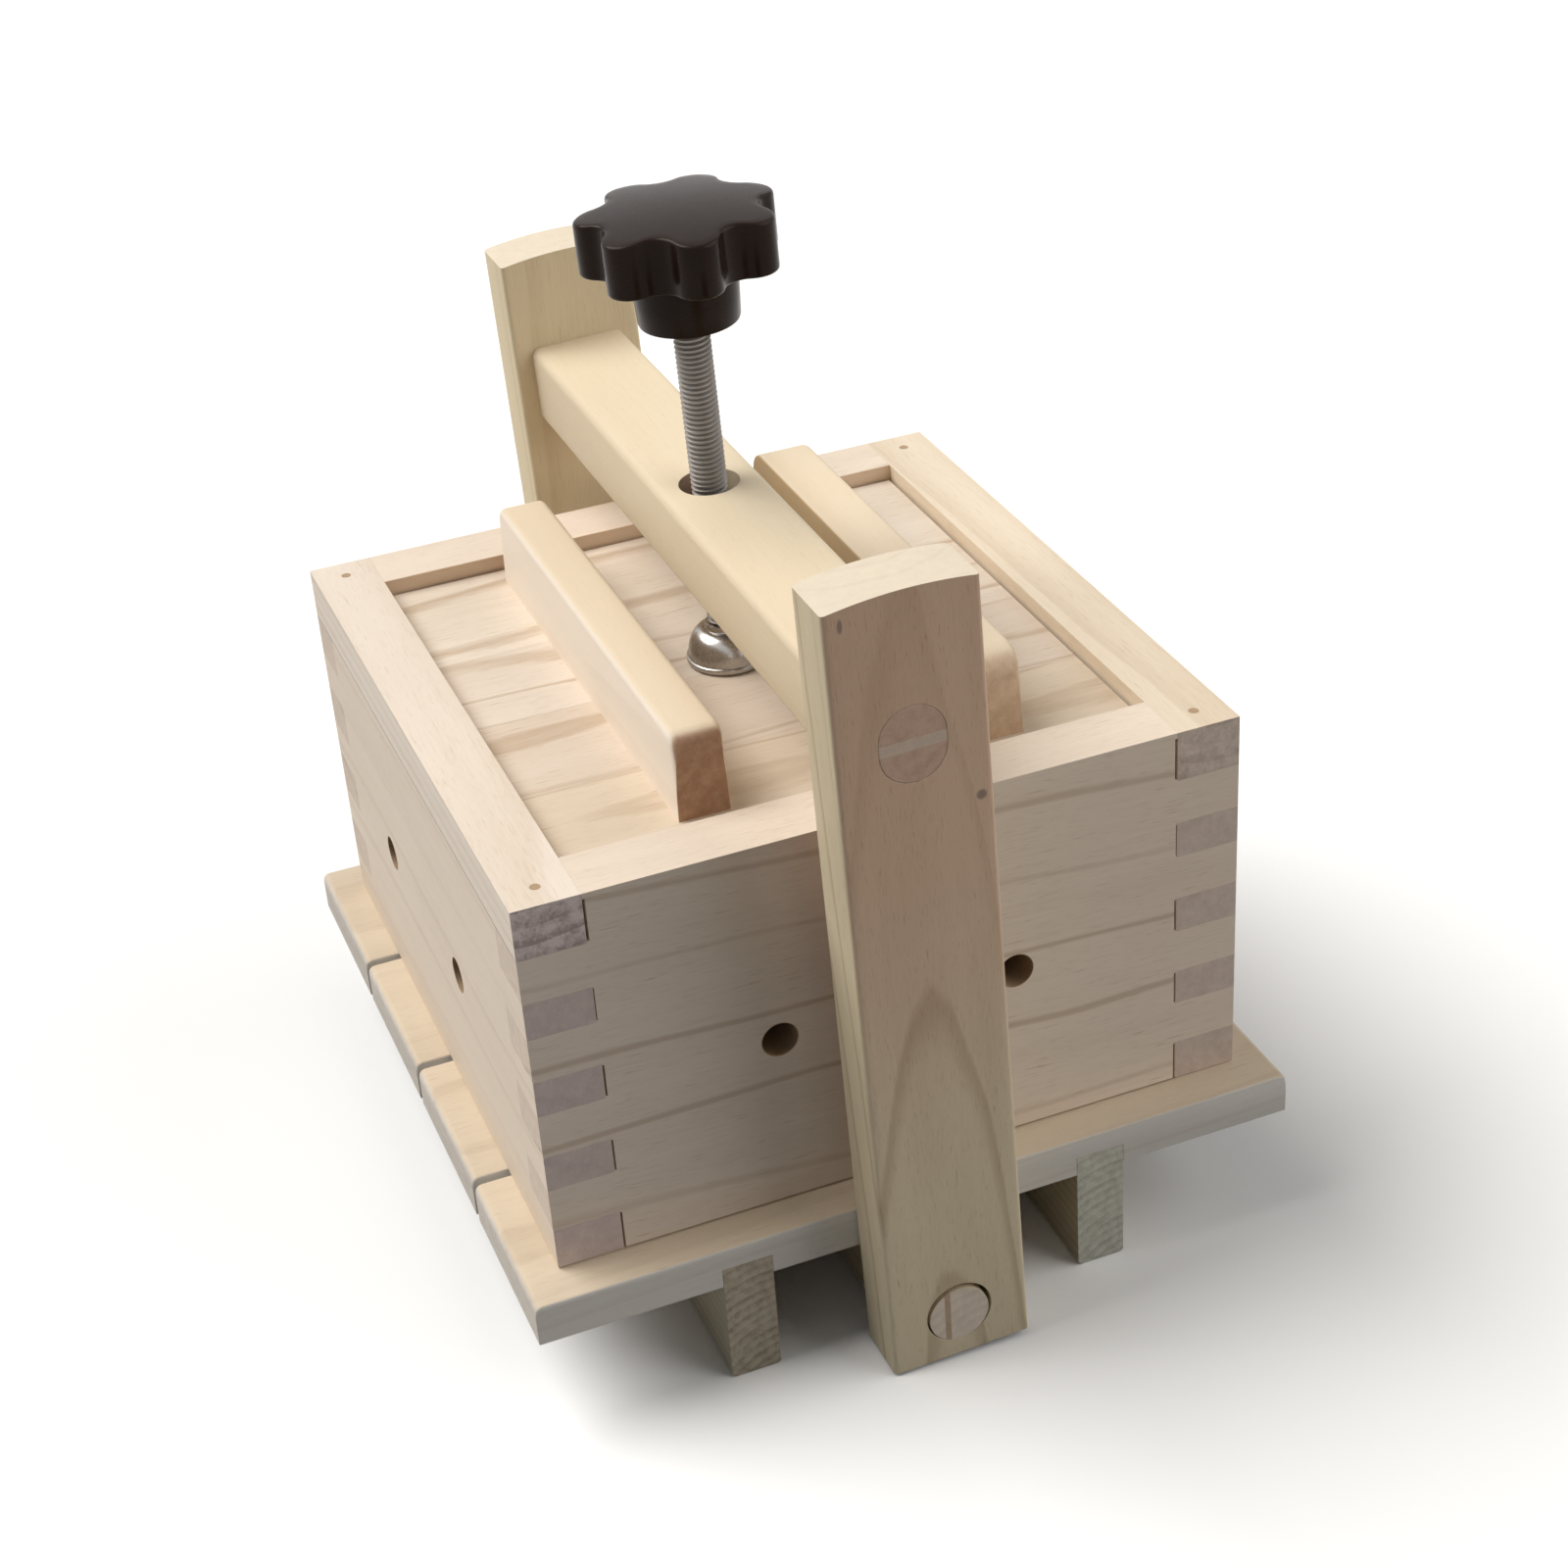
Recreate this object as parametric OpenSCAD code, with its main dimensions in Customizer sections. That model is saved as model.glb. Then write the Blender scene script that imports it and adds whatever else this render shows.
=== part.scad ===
// Wooden screw press for ham, curd or cheese, seen in use position.
// X runs left to right along the front, Y runs front to back, Z is up.
// The origin is on the ground under the middle of the base.

/* [Box] */
// Outside width of the box, left to right
box_w = 240; // [200:1:260]
// Outside depth of the box, front to back
box_d = 246; // [210:1:270]
// Height of the box walls
box_h = 135; // [115:1:170]
// Thickness of the box walls
wall_t = 22; // [18:0.5:25]
// Height of the top finger of a side wall, and of the strip glued on there
top_finger = 17.5; // [12:0.5:24]
// Height of the side wall fingers between the top and the bottom one
mid_finger = 13; // [9:0.5:17]
// Height of the bottom finger of a side wall
low_finger = 15.5; // [10:0.5:22]
// Number of fingers at each end of the front and back walls
finger_n = 4; // [3:1:5]
// Diameter of the corner pins
pin_d = 3.2; // [2:0.1:5]
// Wood left under a corner pin
pin_stop = 5; // [1:0.5:60]
// Distance of a pin from the outside of the side wall
pin_in_x = 11; // [8:0.5:14]
// Distance of a pin from the outside of the front or back wall
pin_in_y = 10; // [8:0.5:14]

/* [Drain holes] */
// Diameter of the drain holes
drain_d = 12; // [6:0.5:16]
// Distance of the front and back holes from the middle
drain_x = 40.5; // [20:0.5:70]
// Height of the front and back holes above the base
drain_z = 63; // [30:0.5:95]
// Distance of the side holes from the middle of their pair
side_drain_y = 41.5; // [20:0.5:60]
// How far the pair of side holes sits behind the middle
side_drain_shift = 7; // [0:0.5:15]
// Height of the side holes above the base
side_drain_z = 57; // [30:0.5:90]

/* [Base] */
// How far the base runs past the box on the left and on the right
lip_x = 12.5; // [6:0.5:30]
// How far the base runs past the box at the front and at the back
lip_y = 14.5; // [8:0.5:30]
// Thickness of the slats
slat_t = 15; // [12:0.5:22]
// Gap between two slats
slat_gap = 3; // [1:0.5:8]
// Round on the top edges of the slats
slat_r = 1; // [0.5:0.5:5]
// Width of a foot
foot_w = 17; // [12:0.5:26]
// Distance of a foot from the middle
foot_x = 62.5; // [45:0.5:90]
// Height of the slats above the ground
foot_rise = 38.5; // [36:0.5:60]
// Depth that a foot is let into the slats
foot_let = 7; // [3:0.5:9]
// Round on the bottom edges of a foot
foot_r = 1.5; // [0.5:0.25:3]

/* [Bottom bar] */
// Width of the bottom bar
bar_w = 34; // [28:0.5:44]
// Height of the bottom bar
bar_h = 37; // [30:0.5:37.5]
// Round on the long edges of the bottom bar
bar_r = 2; // [0.5:0.25:4]
// Diameter of its round tenons
tenon_d = 20.6; // [16:0.1:22]
// Play of a round tenon in its hole, over the diameter
hinge_play = 2; // [0.4:0.1:3]
// Least running gap between a round tenon and its hole
hinge_gap = 0.06; // [0.03:0.01:0.15]
// Thickness of the wedge in a round tenon
bar_wedge_t = 2; // [1:0.25:4]
// Place of that wedge left of the tenon's middle
bar_wedge_x = 4; // [0:0.5:6]

/* [Yoke] */
// Lean of the yoke to the left, in degrees
yoke_lean = 1.8; // [0:0.1:2.2]
// Height of the turning axis above the ground
pivot_z = 19; // [18:0.5:22]
// Gap between the base and an upright
yoke_gap = 0.8; // [0.3:0.1:3]
// Width of an upright
up_w = 48; // [40:0.5:60]
// Thickness of an upright
up_t = 22; // [16:0.5:28]
// Round on the long edges of an upright
up_r = 1.5; // [0.5:0.25:4]
// Rise of the arched top of an upright
crown_h = 2; // [0.5:0.25:6]
// Height of an upright above the beam
horn_h = 32.5; // [15:0.5:50]
// Gap between the bottom of an upright and the ground
up_lift = 1.5; // [1.2:0.1:4]
// Height of the beam above the box
beam_rise = 32; // [31:0.5:60]
// Width of the beam
beam_w = 35; // [32:0.5:44]
// Height of the beam
beam_h = 28; // [26:0.5:40]
// Round on the long edges of the beam
beam_r = 3; // [0.5:0.25:6]
// Width of an oval tenon
oval_w = 21; // [14:0.5:28]
// Height of an oval tenon
oval_h = 25; // [22:0.5:26]
// How far the oval tenons sit below the middle of the beam
oval_low = 1; // [0:0.25:1.5]
// Thickness of the wedge at the end of an oval tenon
beam_wedge_t = 3.8; // [2:0.2:6]
// Thickness of a wedge at its thin end
wedge_tip = 1.2; // [0.6:0.1:1.6]
// Length of the wedges
wedge_l = 19; // [10:0.5:22]

/* [Screw] */
// Diameter of the screw
screw_d = 12; // [10:0.5:14]
// Free length of screw between the beam and the knob
knob_rise = 56.6; // [52:0.2:90]
// Running gap between screw and nut
nut_gap = 0.05; // [0.03:0.01:0.1]
// Outside diameter of the nut's barrel
nut_d = 16; // [15:0.5:20]
// Length of the nut's barrel above its flange
nut_l = 12; // [8:0.5:16]
// Diameter of the nut's flange
nut_flange_d = 31; // [29:0.5:32]
// Thickness of the nut's flange
nut_flange_t = 2; // [1.5:0.25:3]
// Diameter of the hole around the screw in the top of the beam
beam_hole_d = 20; // [16:0.5:26]

/* [Knob] */
// Diameter over the lobes
knob_d = 65; // [58:0.5:72]
// Diameter between the valleys
valley_d = 51; // [46:0.5:53]
// Radius of a lobe
lobe_r = 7.5; // [6:0.25:8]
// Number of lobes
lobe_n = 7; // [6:1:8]
// Angle of the first lobe, from the right side
lobe_angle = 5.5; // [0:0.1:51]
// Height of the lobed grip at its edge
grip_h = 17.4; // [12:0.2:26]
// Rise of the domed top
dome_h = 2.5; // [1:0.25:6]
// Height of the hub under the grip
hub_h = 18.4; // [10:0.2:26]
// Diameter of the hub at its bottom
hub_d = 32.7; // [26:0.1:38]
// Diameter of the hub under the grip
hub_top_d = 34.5; // [28:0.1:40]
// Chamfer on the top edge of the lobes
knob_edge = 1; // [0.4:0.1:2]
// Diameter of the metal insert in the hub
insert_d = 18; // [16:0.5:22]
// Length of the metal insert
insert_l = 20; // [14:0.5:26]

/* [Pressure foot] */
// Diameter of the foot over its rim
pad_d = 29; // [24:0.5:36]
// Height of the foot
pad_h = 14; // [13.5:0.5:18]
// Diameter of the foot's neck
pad_neck_d = 14; // [13:0.5:17]
// Height of the rim band
pad_band = 2; // [1:0.25:3]
// Diameter of the ball on the end of the screw
ball_d = 11; // [10:0.25:11]
// Height of the ball's middle above the rim
ball_z = 8; // [7.75:0.25:8.5]
// Diameter of the screw's neck over the ball
ball_neck_d = 8; // [6:0.25:8]
// Running gap around the ball
ball_gap = 0.05; // [0.03:0.01:0.1]
// Gap between the lowest point of the rim and the plate
pad_gap = 0.3; // [0.2:0.05:0.6]

/* [Pressing plate] */
// Gap between the plate and the inside of the box
plate_gap = 1; // [0.5:0.25:3]
// Thickness of the plate
plate_t = 15; // [12:0.5:22]
// Depth of the plate's top below the rim of the box
plate_drop = 5.5; // [0:0.5:20]
// Distance of the left batten's inner face from the middle
left_batten_x = 39.5; // [30:0.5:60]
// Distance of the right batten's inner face from the middle
right_batten_x = 40; // [30:0.5:60]
// Width of the left batten
left_batten_w = 17; // [14:0.5:28]
// Width of the right batten
right_batten_w = 20; // [14:0.5:28]
// Height of a batten
batten_h = 30; // [24:0.5:32]
// Length of a batten
batten_l = 182; // [120:1:190]
// Round on the long edges of a batten
batten_r = 2.5; // [0.5:0.25:6]
// Round on the ends of the left batten
left_end_r = 5; // [1:0.5:12]
// Round on the ends of the right batten
right_end_r = 9; // [1:0.5:12]

/* [Wood screws] */
// Shank diameter of the wood screws
wood_screw_d = 4; // [2.5:0.25:5]
// Head diameter of the wood screws
wood_head_d = 8; // [6:0.25:10]
// Height of the countersunk heads
wood_head_h = 2.4; // [1.5:0.2:4]
// Distance between the screws along a batten
batten_screw_step = 65; // [30:1:75]
// Depth of a batten screw in its batten
batten_bite = 18; // [8:0.5:22]
// Depth of the head holes in the feet
foot_sink = 8; // [2:0.5:12]
// Wood left over the point of a base screw
slat_skin = 3; // [1:0.5:5]
// Shank diameter of the small screws in the nut's flange
nut_screw_d = 2.5; // [1.5:0.25:3]
// Head diameter of those screws
nut_head_d = 4.5; // [3.5:0.25:5]
// Head height of those screws
nut_head_h = 1; // [0.6:0.1:1.4]
// Length of those screws
nut_screw_l = 14; // [8:0.5:18]

/* [Hidden] */
$fn = 64;
// Overrun of cuts past a face
over = 1;
// Number of slats
slat_n = 4;
// Joints between the plate's boards, as shares of its depth from the front
joint_shares = [0, 0.225, 0.465, 0.7, 1];
// Steps over the knob's dome
crown_steps = 8;
// Steps around a quarter of the foot's dome
dome_steps = 9;
// Least flat between a lobe and the valley beside it
lobe_flat = 0.05;
// Number of screws in the nut's flange
nut_screw_n = 3;
// Number of screws along a batten
batten_screw_n = 3;
// Turn of the first of the nut's screws
nut_screw_angle = 90;
// Chamfer on the top end of the screw
screw_end = 0.8;
// Gap between the screw's shoulder and the top of the foot
shoulder_gap = 0.4;
// Step from the foot's rim in to its dome
dome_step_r = 0.9;
// Height of the collar at the top of the foot
collar_h = 2;
// Chamfer on the edges of the foot
rim_edge = 0.6;
// Thickness of the ring that holds the ball
ring_t = 0.8;
// Gap between the ball and that ring
ring_gap = 0.1;
// Diameter of the hole in that ring
ring_bore = 7;
// Extra radius of the foot's socket below the ball
socket_extra = 0.1;
// Gap around the screw's neck
neck_gap = 0.6;

base_w = box_w + 2 * lip_x;
base_d = box_d + 2 * lip_y;
base_top = foot_rise + slat_t;
slat_w = (base_d - (slat_n - 1) * slat_gap) / slat_n;
cross_h = (box_h - top_finger - low_finger - (finger_n - 1) * mid_finger) / finger_n;
pin_l = box_h - pin_stop;
box_in_w = box_w - 2 * wall_t;
box_in_d = box_d - 2 * wall_t;
plate_w = box_in_w - 2 * plate_gap;
plate_d = box_in_d - 2 * plate_gap;
plate_top = base_top + box_h - plate_drop;
plate_z = plate_top - plate_t;
left_batten_mid = -left_batten_x - left_batten_w / 2;
right_batten_mid = right_batten_x + right_batten_w / 2;
hinge_d = tenon_d + hinge_play;
tenon_z = pivot_z - hinge_play / 2 + hinge_gap;
yoke_y = base_d / 2 + yoke_gap;
yoke_out = yoke_y + up_t;
up_bottom = up_lift - pivot_z;
beam_low = base_top - pivot_z + box_h + beam_rise;
beam_top = beam_low + beam_h;
oval_z = beam_low + beam_h / 2 - oval_low;
up_top = beam_top + horn_h;
crown_r = (up_w * up_w / 4 + crown_h * crown_h) / (2 * crown_h);
hub_z = beam_top + knob_rise;
grip_z = hub_z + hub_h;
lobe_at = knob_d / 2 - lobe_r;
lobe_cos = cos(180 / lobe_n);
valley_gain = lobe_at * lobe_at + valley_d * valley_d / 4 - lobe_at * valley_d * lobe_cos - lobe_r * lobe_r;
valley_r = valley_gain / (2 * (lobe_r - valley_d / 2 + lobe_at * lobe_cos));
valley_at = valley_d / 2 + valley_r;
pad_z = (plate_top - pivot_z + pad_gap + pad_d / 2 * sin(yoke_lean)) / cos(yoke_lean);

// Section of a bar, standing on the X axis, with its own round at top and bottom
module bar_section(w, h, r_top, r_low) {
    translate([-w / 2, r_low])
        square([w, h - r_top - r_low]);
    translate([-w / 2 + r_top, h - r_top])
        square([w - 2 * r_top, r_top]);
    for (side = [-1, 1])
        translate([side * (w / 2 - r_top), h - r_top])
            circle(r = r_top);
    if (r_low > 0) {
        translate([-w / 2 + r_low, 0])
            square([w - 2 * r_low, r_low]);
        for (side = [-1, 1])
            translate([side * (w / 2 - r_low), r_low])
                circle(r = r_low);
    }
}

// A length of something drawn in X and Z, laid along Y about the middle
module along_y(l) {
    rotate([90, 0, 0])
        linear_extrude(height = l, center = true)
            children();
}

// A length of something drawn in Y and Z, laid along X about the middle
module along_x(l) {
    rotate([90, 0, 90])
        linear_extrude(height = l, center = true)
            children();
}

// A wood screw that points up, with the bottom of its head at the origin
module wood_screw(l) {
    cylinder(d1 = wood_head_d, d2 = wood_screw_d, h = wood_head_h);
    cylinder(d = wood_screw_d, h = l);
}

// Puts what is drawn above the turning axis at the lean of the yoke
module on_yoke() {
    translate([0, 0, pivot_z])
        rotate([0, -yoke_lean, 0])
            children();
}

// Base

module foot_section() {
    translate([-foot_w / 2, foot_r])
        square([foot_w, foot_rise + foot_let - foot_r]);
    translate([-foot_w / 2 + foot_r, 0])
        square([foot_w - 2 * foot_r, foot_r]);
    for (side = [-1, 1])
        translate([side * (foot_w / 2 - foot_r), foot_r])
            circle(r = foot_r);
}

module base_screw_set() {
    for (side = [-1, 1])
        for (i = [0 : slat_n - 1])
            translate([side * foot_x, slat_y(i), foot_sink])
                wood_screw(base_top - slat_skin - foot_sink);
}

function slat_y(i) = (i - (slat_n - 1) / 2) * (slat_w + slat_gap);

module base_slat(i) {
    color("wheat")
        difference() {
            translate([0, slat_y(i), foot_rise])
                along_x(base_w)
                    bar_section(slat_w, slat_t, slat_r, 0);
            for (side = [-1, 1])
                translate([side * foot_x - foot_w / 2, slat_y(i) - slat_w / 2 - over, foot_rise - over])
                    cube([foot_w, slat_w + 2 * over, foot_let + over]);
            base_screw_set();
        }
}

module foot_bar(side) {
    color("burlywood")
        difference() {
            translate([side * foot_x, 0, 0])
                along_y(base_d)
                    foot_section();
            base_screw_set();
            for (i = [0 : slat_n - 1])
                translate([side * foot_x, slat_y(i), -over])
                    cylinder(d = wood_head_d, h = foot_sink + over);
        }
}

module base_screws() {
    color("silver")
        base_screw_set();
}

// Bottom bar with its round tenons, which the uprights turn on

module bar_wedge_blank(side) {
    translate([-bar_wedge_x, side * yoke_out, tenon_z])
        linear_extrude(height = 2 * tenon_d, center = true)
            polygon([
                [-bar_wedge_t / 2, 0],
                [bar_wedge_t / 2, 0],
                [wedge_tip / 2, -side * wedge_l],
                [-wedge_tip / 2, -side * wedge_l]
            ]);
}

module round_tenons() {
    translate([0, 0, tenon_z])
        rotate([90, 0, 0])
            cylinder(d = tenon_d, h = 2 * yoke_out, center = true);
}

module bottom_bar() {
    color("burlywood")
        difference() {
            union() {
                translate([0, 0, foot_rise - bar_h])
                    along_y(base_d)
                        bar_section(bar_w, bar_h, bar_r, bar_r);
                round_tenons();
            }
            for (side = [-1, 1])
                bar_wedge_blank(side);
        }
}

module bar_wedge(side) {
    color("peru")
        intersection() {
            round_tenons();
            bar_wedge_blank(side);
        }
}

// Yoke

module oval_bar(l) {
    translate([0, 0, oval_z])
        along_y(l) {
            for (side = [-1, 1])
                translate([0, side * (oval_h - oval_w) / 2])
                    circle(d = oval_w);
            square([oval_w, oval_h - oval_w], center = true);
        }
}

module beam_wedge_blank(side) {
    translate([0, side * yoke_out, oval_z])
        rotate([90, 0, 90])
            linear_extrude(height = 2 * oval_w, center = true)
                polygon([
                    [0, -beam_wedge_t / 2],
                    [0, beam_wedge_t / 2],
                    [-side * wedge_l, wedge_tip / 2],
                    [-side * wedge_l, -wedge_tip / 2]
                ]);
}

module post_section() {
    for (sx = [-1, 1])
        for (sy = [-1, 1])
            translate([sx * (up_w / 2 - up_r), sy * (up_t / 2 - up_r)])
                circle(r = up_r);
    square([up_w, up_t - 2 * up_r], center = true);
    square([up_w - 2 * up_r, up_t], center = true);
}

module upright(side) {
    color("wheat")
        on_yoke()
            difference() {
                translate([0, side * (yoke_y + up_t / 2), up_bottom])
                    linear_extrude(height = up_top + crown_h - up_bottom)
                        post_section();
                difference() {
                    translate([-up_w, -yoke_out - over, up_top])
                        cube([2 * up_w, 2 * (yoke_out + over), 2 * crown_h]);
                    translate([0, 0, up_top + crown_h - crown_r])
                        rotate([90, 0, 0])
                            cylinder(r = crown_r, h = 2 * (yoke_out + 2 * over), center = true, $fn = 360);
                }
                oval_bar(2 * (yoke_out + over));
                rotate([90, 0, 0])
                    cylinder(d = hinge_d, h = 2 * (yoke_out + over), center = true);
            }
}

module nut_places() {
    screw_ring = (nut_d / 2 + nut_flange_d / 2) / 2;
    for (i = [0 : nut_screw_n - 1])
        rotate([0, 0, nut_screw_angle + i * 360 / nut_screw_n])
            translate([screw_ring, 0, beam_low])
                children();
}

module nut_screw_set() {
    nut_places() {
        translate([0, 0, -nut_head_h])
            cylinder(d = nut_head_d, h = nut_head_h);
        cylinder(d = nut_screw_d, h = nut_screw_l);
    }
}

module top_beam() {
    color("wheat")
        on_yoke()
            difference() {
                union() {
                    translate([0, 0, beam_low])
                        along_y(2 * yoke_y)
                            bar_section(beam_w, beam_h, beam_r, beam_r);
                    oval_bar(2 * yoke_out);
                }
                for (side = [-1, 1])
                    beam_wedge_blank(side);
                translate([0, 0, beam_low - over])
                    cylinder(d = nut_flange_d, h = nut_flange_t + over);
                translate([0, 0, beam_low])
                    cylinder(d = nut_d, h = nut_flange_t + nut_l);
                translate([0, 0, beam_low + nut_flange_t + nut_l])
                    cylinder(d = beam_hole_d, h = beam_h);
                nut_screw_set();
            }
}

module beam_wedge(side) {
    color("peru")
        on_yoke()
            intersection() {
                oval_bar(2 * yoke_out);
                beam_wedge_blank(side);
            }
}

module beam_nut() {
    color("silver")
        on_yoke()
            difference() {
                translate([0, 0, beam_low]) {
                    cylinder(d = nut_flange_d, h = nut_flange_t);
                    cylinder(d = nut_d, h = nut_flange_t + nut_l);
                }
                translate([0, 0, beam_low - over])
                    cylinder(d = screw_d + 2 * nut_gap, h = beam_h);
                nut_screw_set();
            }
}

module nut_screws() {
    color("gray")
        on_yoke()
            nut_screw_set();
}

// Screw with its knob and foot

module screw_rod() {
    color("silver")
        on_yoke() {
            translate([0, 0, pad_z + ball_z])
                sphere(d = ball_d);
            translate([0, 0, pad_z + ball_z])
                cylinder(d = ball_neck_d, h = pad_h - ball_z + shoulder_gap + over);
            translate([0, 0, pad_z + pad_h + shoulder_gap])
                cylinder(d = screw_d, h = hub_z + insert_l - screw_end - pad_z - pad_h - shoulder_gap);
            translate([0, 0, hub_z + insert_l - screw_end])
                cylinder(d1 = screw_d, d2 = screw_d - 2 * screw_end, h = screw_end);
        }
}

// Round lobes with round valleys between them, each just touching the next
module lobed_grip(h) {
    difference() {
        union() {
            linear_extrude(height = h)
                polygon([
                    for (i = [0 : 2 * lobe_n - 1])
                        let (a = i * 180 / lobe_n, r = i % 2 == 0 ? lobe_at : valley_at)
                            [r * cos(a), r * sin(a)]
                ]);
            for (i = [0 : lobe_n - 1])
                rotate([0, 0, i * 360 / lobe_n])
                    translate([lobe_at, 0, 0])
                        cylinder(r = lobe_r, h = h);
        }
        for (i = [0 : lobe_n - 1])
            rotate([0, 0, (i + 1 / 2) * 360 / lobe_n])
                translate([valley_at, 0, -over])
                    cylinder(r = valley_r - lobe_flat, h = h + 2 * over);
    }
}

// Half section of the grip's envelope, with a chamfered edge and a domed top
module grip_envelope() {
    edge_r = knob_d / 2 - knob_edge;
    polygon(concat(
        [
            [0, -over],
            [knob_d / 2 + over, -over],
            [knob_d / 2 + over, grip_h - knob_edge],
            [knob_d / 2, grip_h - knob_edge],
            [edge_r, grip_h]
        ],
        [
            for (i = [1 : crown_steps])
                let (share = 1 - i / crown_steps)
                    [edge_r * share, grip_h + dome_h * (1 - share * share)]
        ]
    ));
}

module star_knob() {
    color("black")
        on_yoke()
            difference() {
                union() {
                    intersection() {
                        translate([0, 0, grip_z])
                            rotate([0, 0, lobe_angle])
                                lobed_grip(grip_h + dome_h);
                        translate([0, 0, grip_z])
                            rotate_extrude()
                                grip_envelope();
                    }
                    translate([0, 0, hub_z])
                        cylinder(d1 = hub_d, d2 = hub_top_d, h = hub_h);
                }
                translate([0, 0, hub_z - over])
                    cylinder(d = insert_d, h = insert_l + over);
            }
}

module knob_insert() {
    color("silver")
        on_yoke()
            difference() {
                translate([0, 0, hub_z])
                    cylinder(d = insert_d, h = insert_l);
                translate([0, 0, hub_z - over])
                    cylinder(d = screw_d, h = insert_l - screw_end + over);
                translate([0, 0, hub_z + insert_l - screw_end])
                    cylinder(d1 = screw_d, d2 = screw_d - 2 * screw_end, h = screw_end);
            }
}

// Outline of half the foot, from its rim over the dome to the neck
function pad_outline() =
    let (
        r_rim = pad_d / 2,
        r_neck = pad_neck_d / 2,
        r_dome = r_rim - dome_step_r,
        z_dome = pad_band + rim_edge,
        z_neck = pad_h - collar_h
    )
    concat(
        [[0, 0], [r_rim - rim_edge, 0], [r_rim, rim_edge], [r_rim, pad_band]],
        [
            for (i = [0 : dome_steps])
                let (a = i * 90 / dome_steps)
                    [r_neck + (r_dome - r_neck) * cos(a), z_dome + (z_neck - z_dome) * sin(a)]
        ],
        [[r_neck, pad_h - rim_edge], [r_neck - rim_edge, pad_h], [0, pad_h]]
    );

module pressure_foot() {
    socket_r = ball_d / 2 + ball_gap;
    color("silver")
        on_yoke()
            translate([0, 0, pad_z])
                difference() {
                    rotate_extrude()
                        polygon(pad_outline());
                    translate([0, 0, ball_z])
                        sphere(r = socket_r);
                    translate([0, 0, -over])
                        cylinder(r = socket_r + socket_extra, h = ball_z + over);
                    translate([0, 0, ball_z])
                        cylinder(d = ball_neck_d + 2 * neck_gap, h = pad_h);
                }
}

module foot_retainer() {
    ring_r = ball_d / 2 + ball_gap + socket_extra;
    color("gray")
        on_yoke()
            translate([0, 0, pad_z + ball_z - ball_d / 2 - ring_gap - ring_t])
                difference() {
                    cylinder(r = ring_r, h = ring_t);
                    translate([0, 0, -over])
                        cylinder(d = ring_bore, h = ring_t + 2 * over);
                }
}

// Box

module pin_set() {
    for (sx = [-1, 1])
        for (sy = [-1, 1])
            translate([sx * (box_w / 2 - pin_in_x), sy * (box_d / 2 - pin_in_y), base_top + box_h - pin_l])
                cylinder(d = pin_d, h = pin_l);
}

// Bottom of a finger of the front and back walls
function finger_z(i) = low_finger + i * (cross_h + mid_finger);

module cross_wall(side) {
    color("wheat")
        difference() {
            translate([0, side * (box_d - wall_t) / 2, base_top])
                along_y(wall_t) {
                    translate([-box_in_w / 2, 0])
                        square([box_in_w, box_h]);
                    for (i = [0 : finger_n - 1])
                        translate([-box_w / 2, finger_z(i)])
                            square([box_w, cross_h]);
                }
            for (sx = [-1, 1])
                translate([sx * drain_x, 0, base_top + drain_z])
                    rotate([90, 0, 0])
                        cylinder(d = drain_d, h = box_d + 2 * over, center = true);
            pin_set();
        }
}

module side_wall(side) {
    color("wheat")
        difference() {
            translate([side * (box_w - wall_t) / 2, 0, base_top])
                along_x(wall_t)
                    difference() {
                        translate([-box_d / 2, 0])
                            square([box_d, box_h - top_finger]);
                        for (i = [0 : finger_n - 1])
                            for (sy = [-1, 1])
                                translate([sy * (box_d - wall_t + over) / 2, finger_z(i) + cross_h / 2])
                                    square([wall_t + over, cross_h], center = true);
                    }
            for (sy = [-1, 1])
                translate([0, side_drain_shift + sy * side_drain_y, base_top + side_drain_z])
                    rotate([0, 90, 0])
                        cylinder(d = drain_d, h = box_w + 2 * over, center = true);
            pin_set();
        }
}

module side_strip(side) {
    color("wheat")
        difference() {
            translate([side * (box_w - wall_t) / 2, 0, base_top + box_h - top_finger / 2])
                cube([wall_t, box_d, top_finger], center = true);
            pin_set();
        }
}

module corner_pins() {
    color("tan")
        pin_set();
}

// Pressing plate

module batten_screw_set() {
    for (mid = [left_batten_mid, right_batten_mid])
        for (i = [0 : batten_screw_n - 1])
            translate([mid, (i - (batten_screw_n - 1) / 2) * batten_screw_step, plate_z])
                wood_screw(plate_t + batten_bite);
}

module plate_board(i) {
    color("wheat")
        difference() {
            translate([-plate_w / 2, plate_d * (joint_shares[i] - 1 / 2), plate_z])
                cube([plate_w, plate_d * (joint_shares[i + 1] - joint_shares[i]), plate_t]);
            batten_screw_set();
        }
}

module batten(mid, w, end_r) {
    color("burlywood")
        difference() {
            intersection() {
                translate([mid, 0, plate_top])
                    along_y(batten_l)
                        bar_section(w, batten_h, batten_r, 0);
                translate([mid, 0, plate_top])
                    along_x(w + 2 * over)
                        bar_section(batten_l, batten_h, end_r, 0);
            }
            batten_screw_set();
        }
}

module batten_screws() {
    color("silver")
        batten_screw_set();
}

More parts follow.
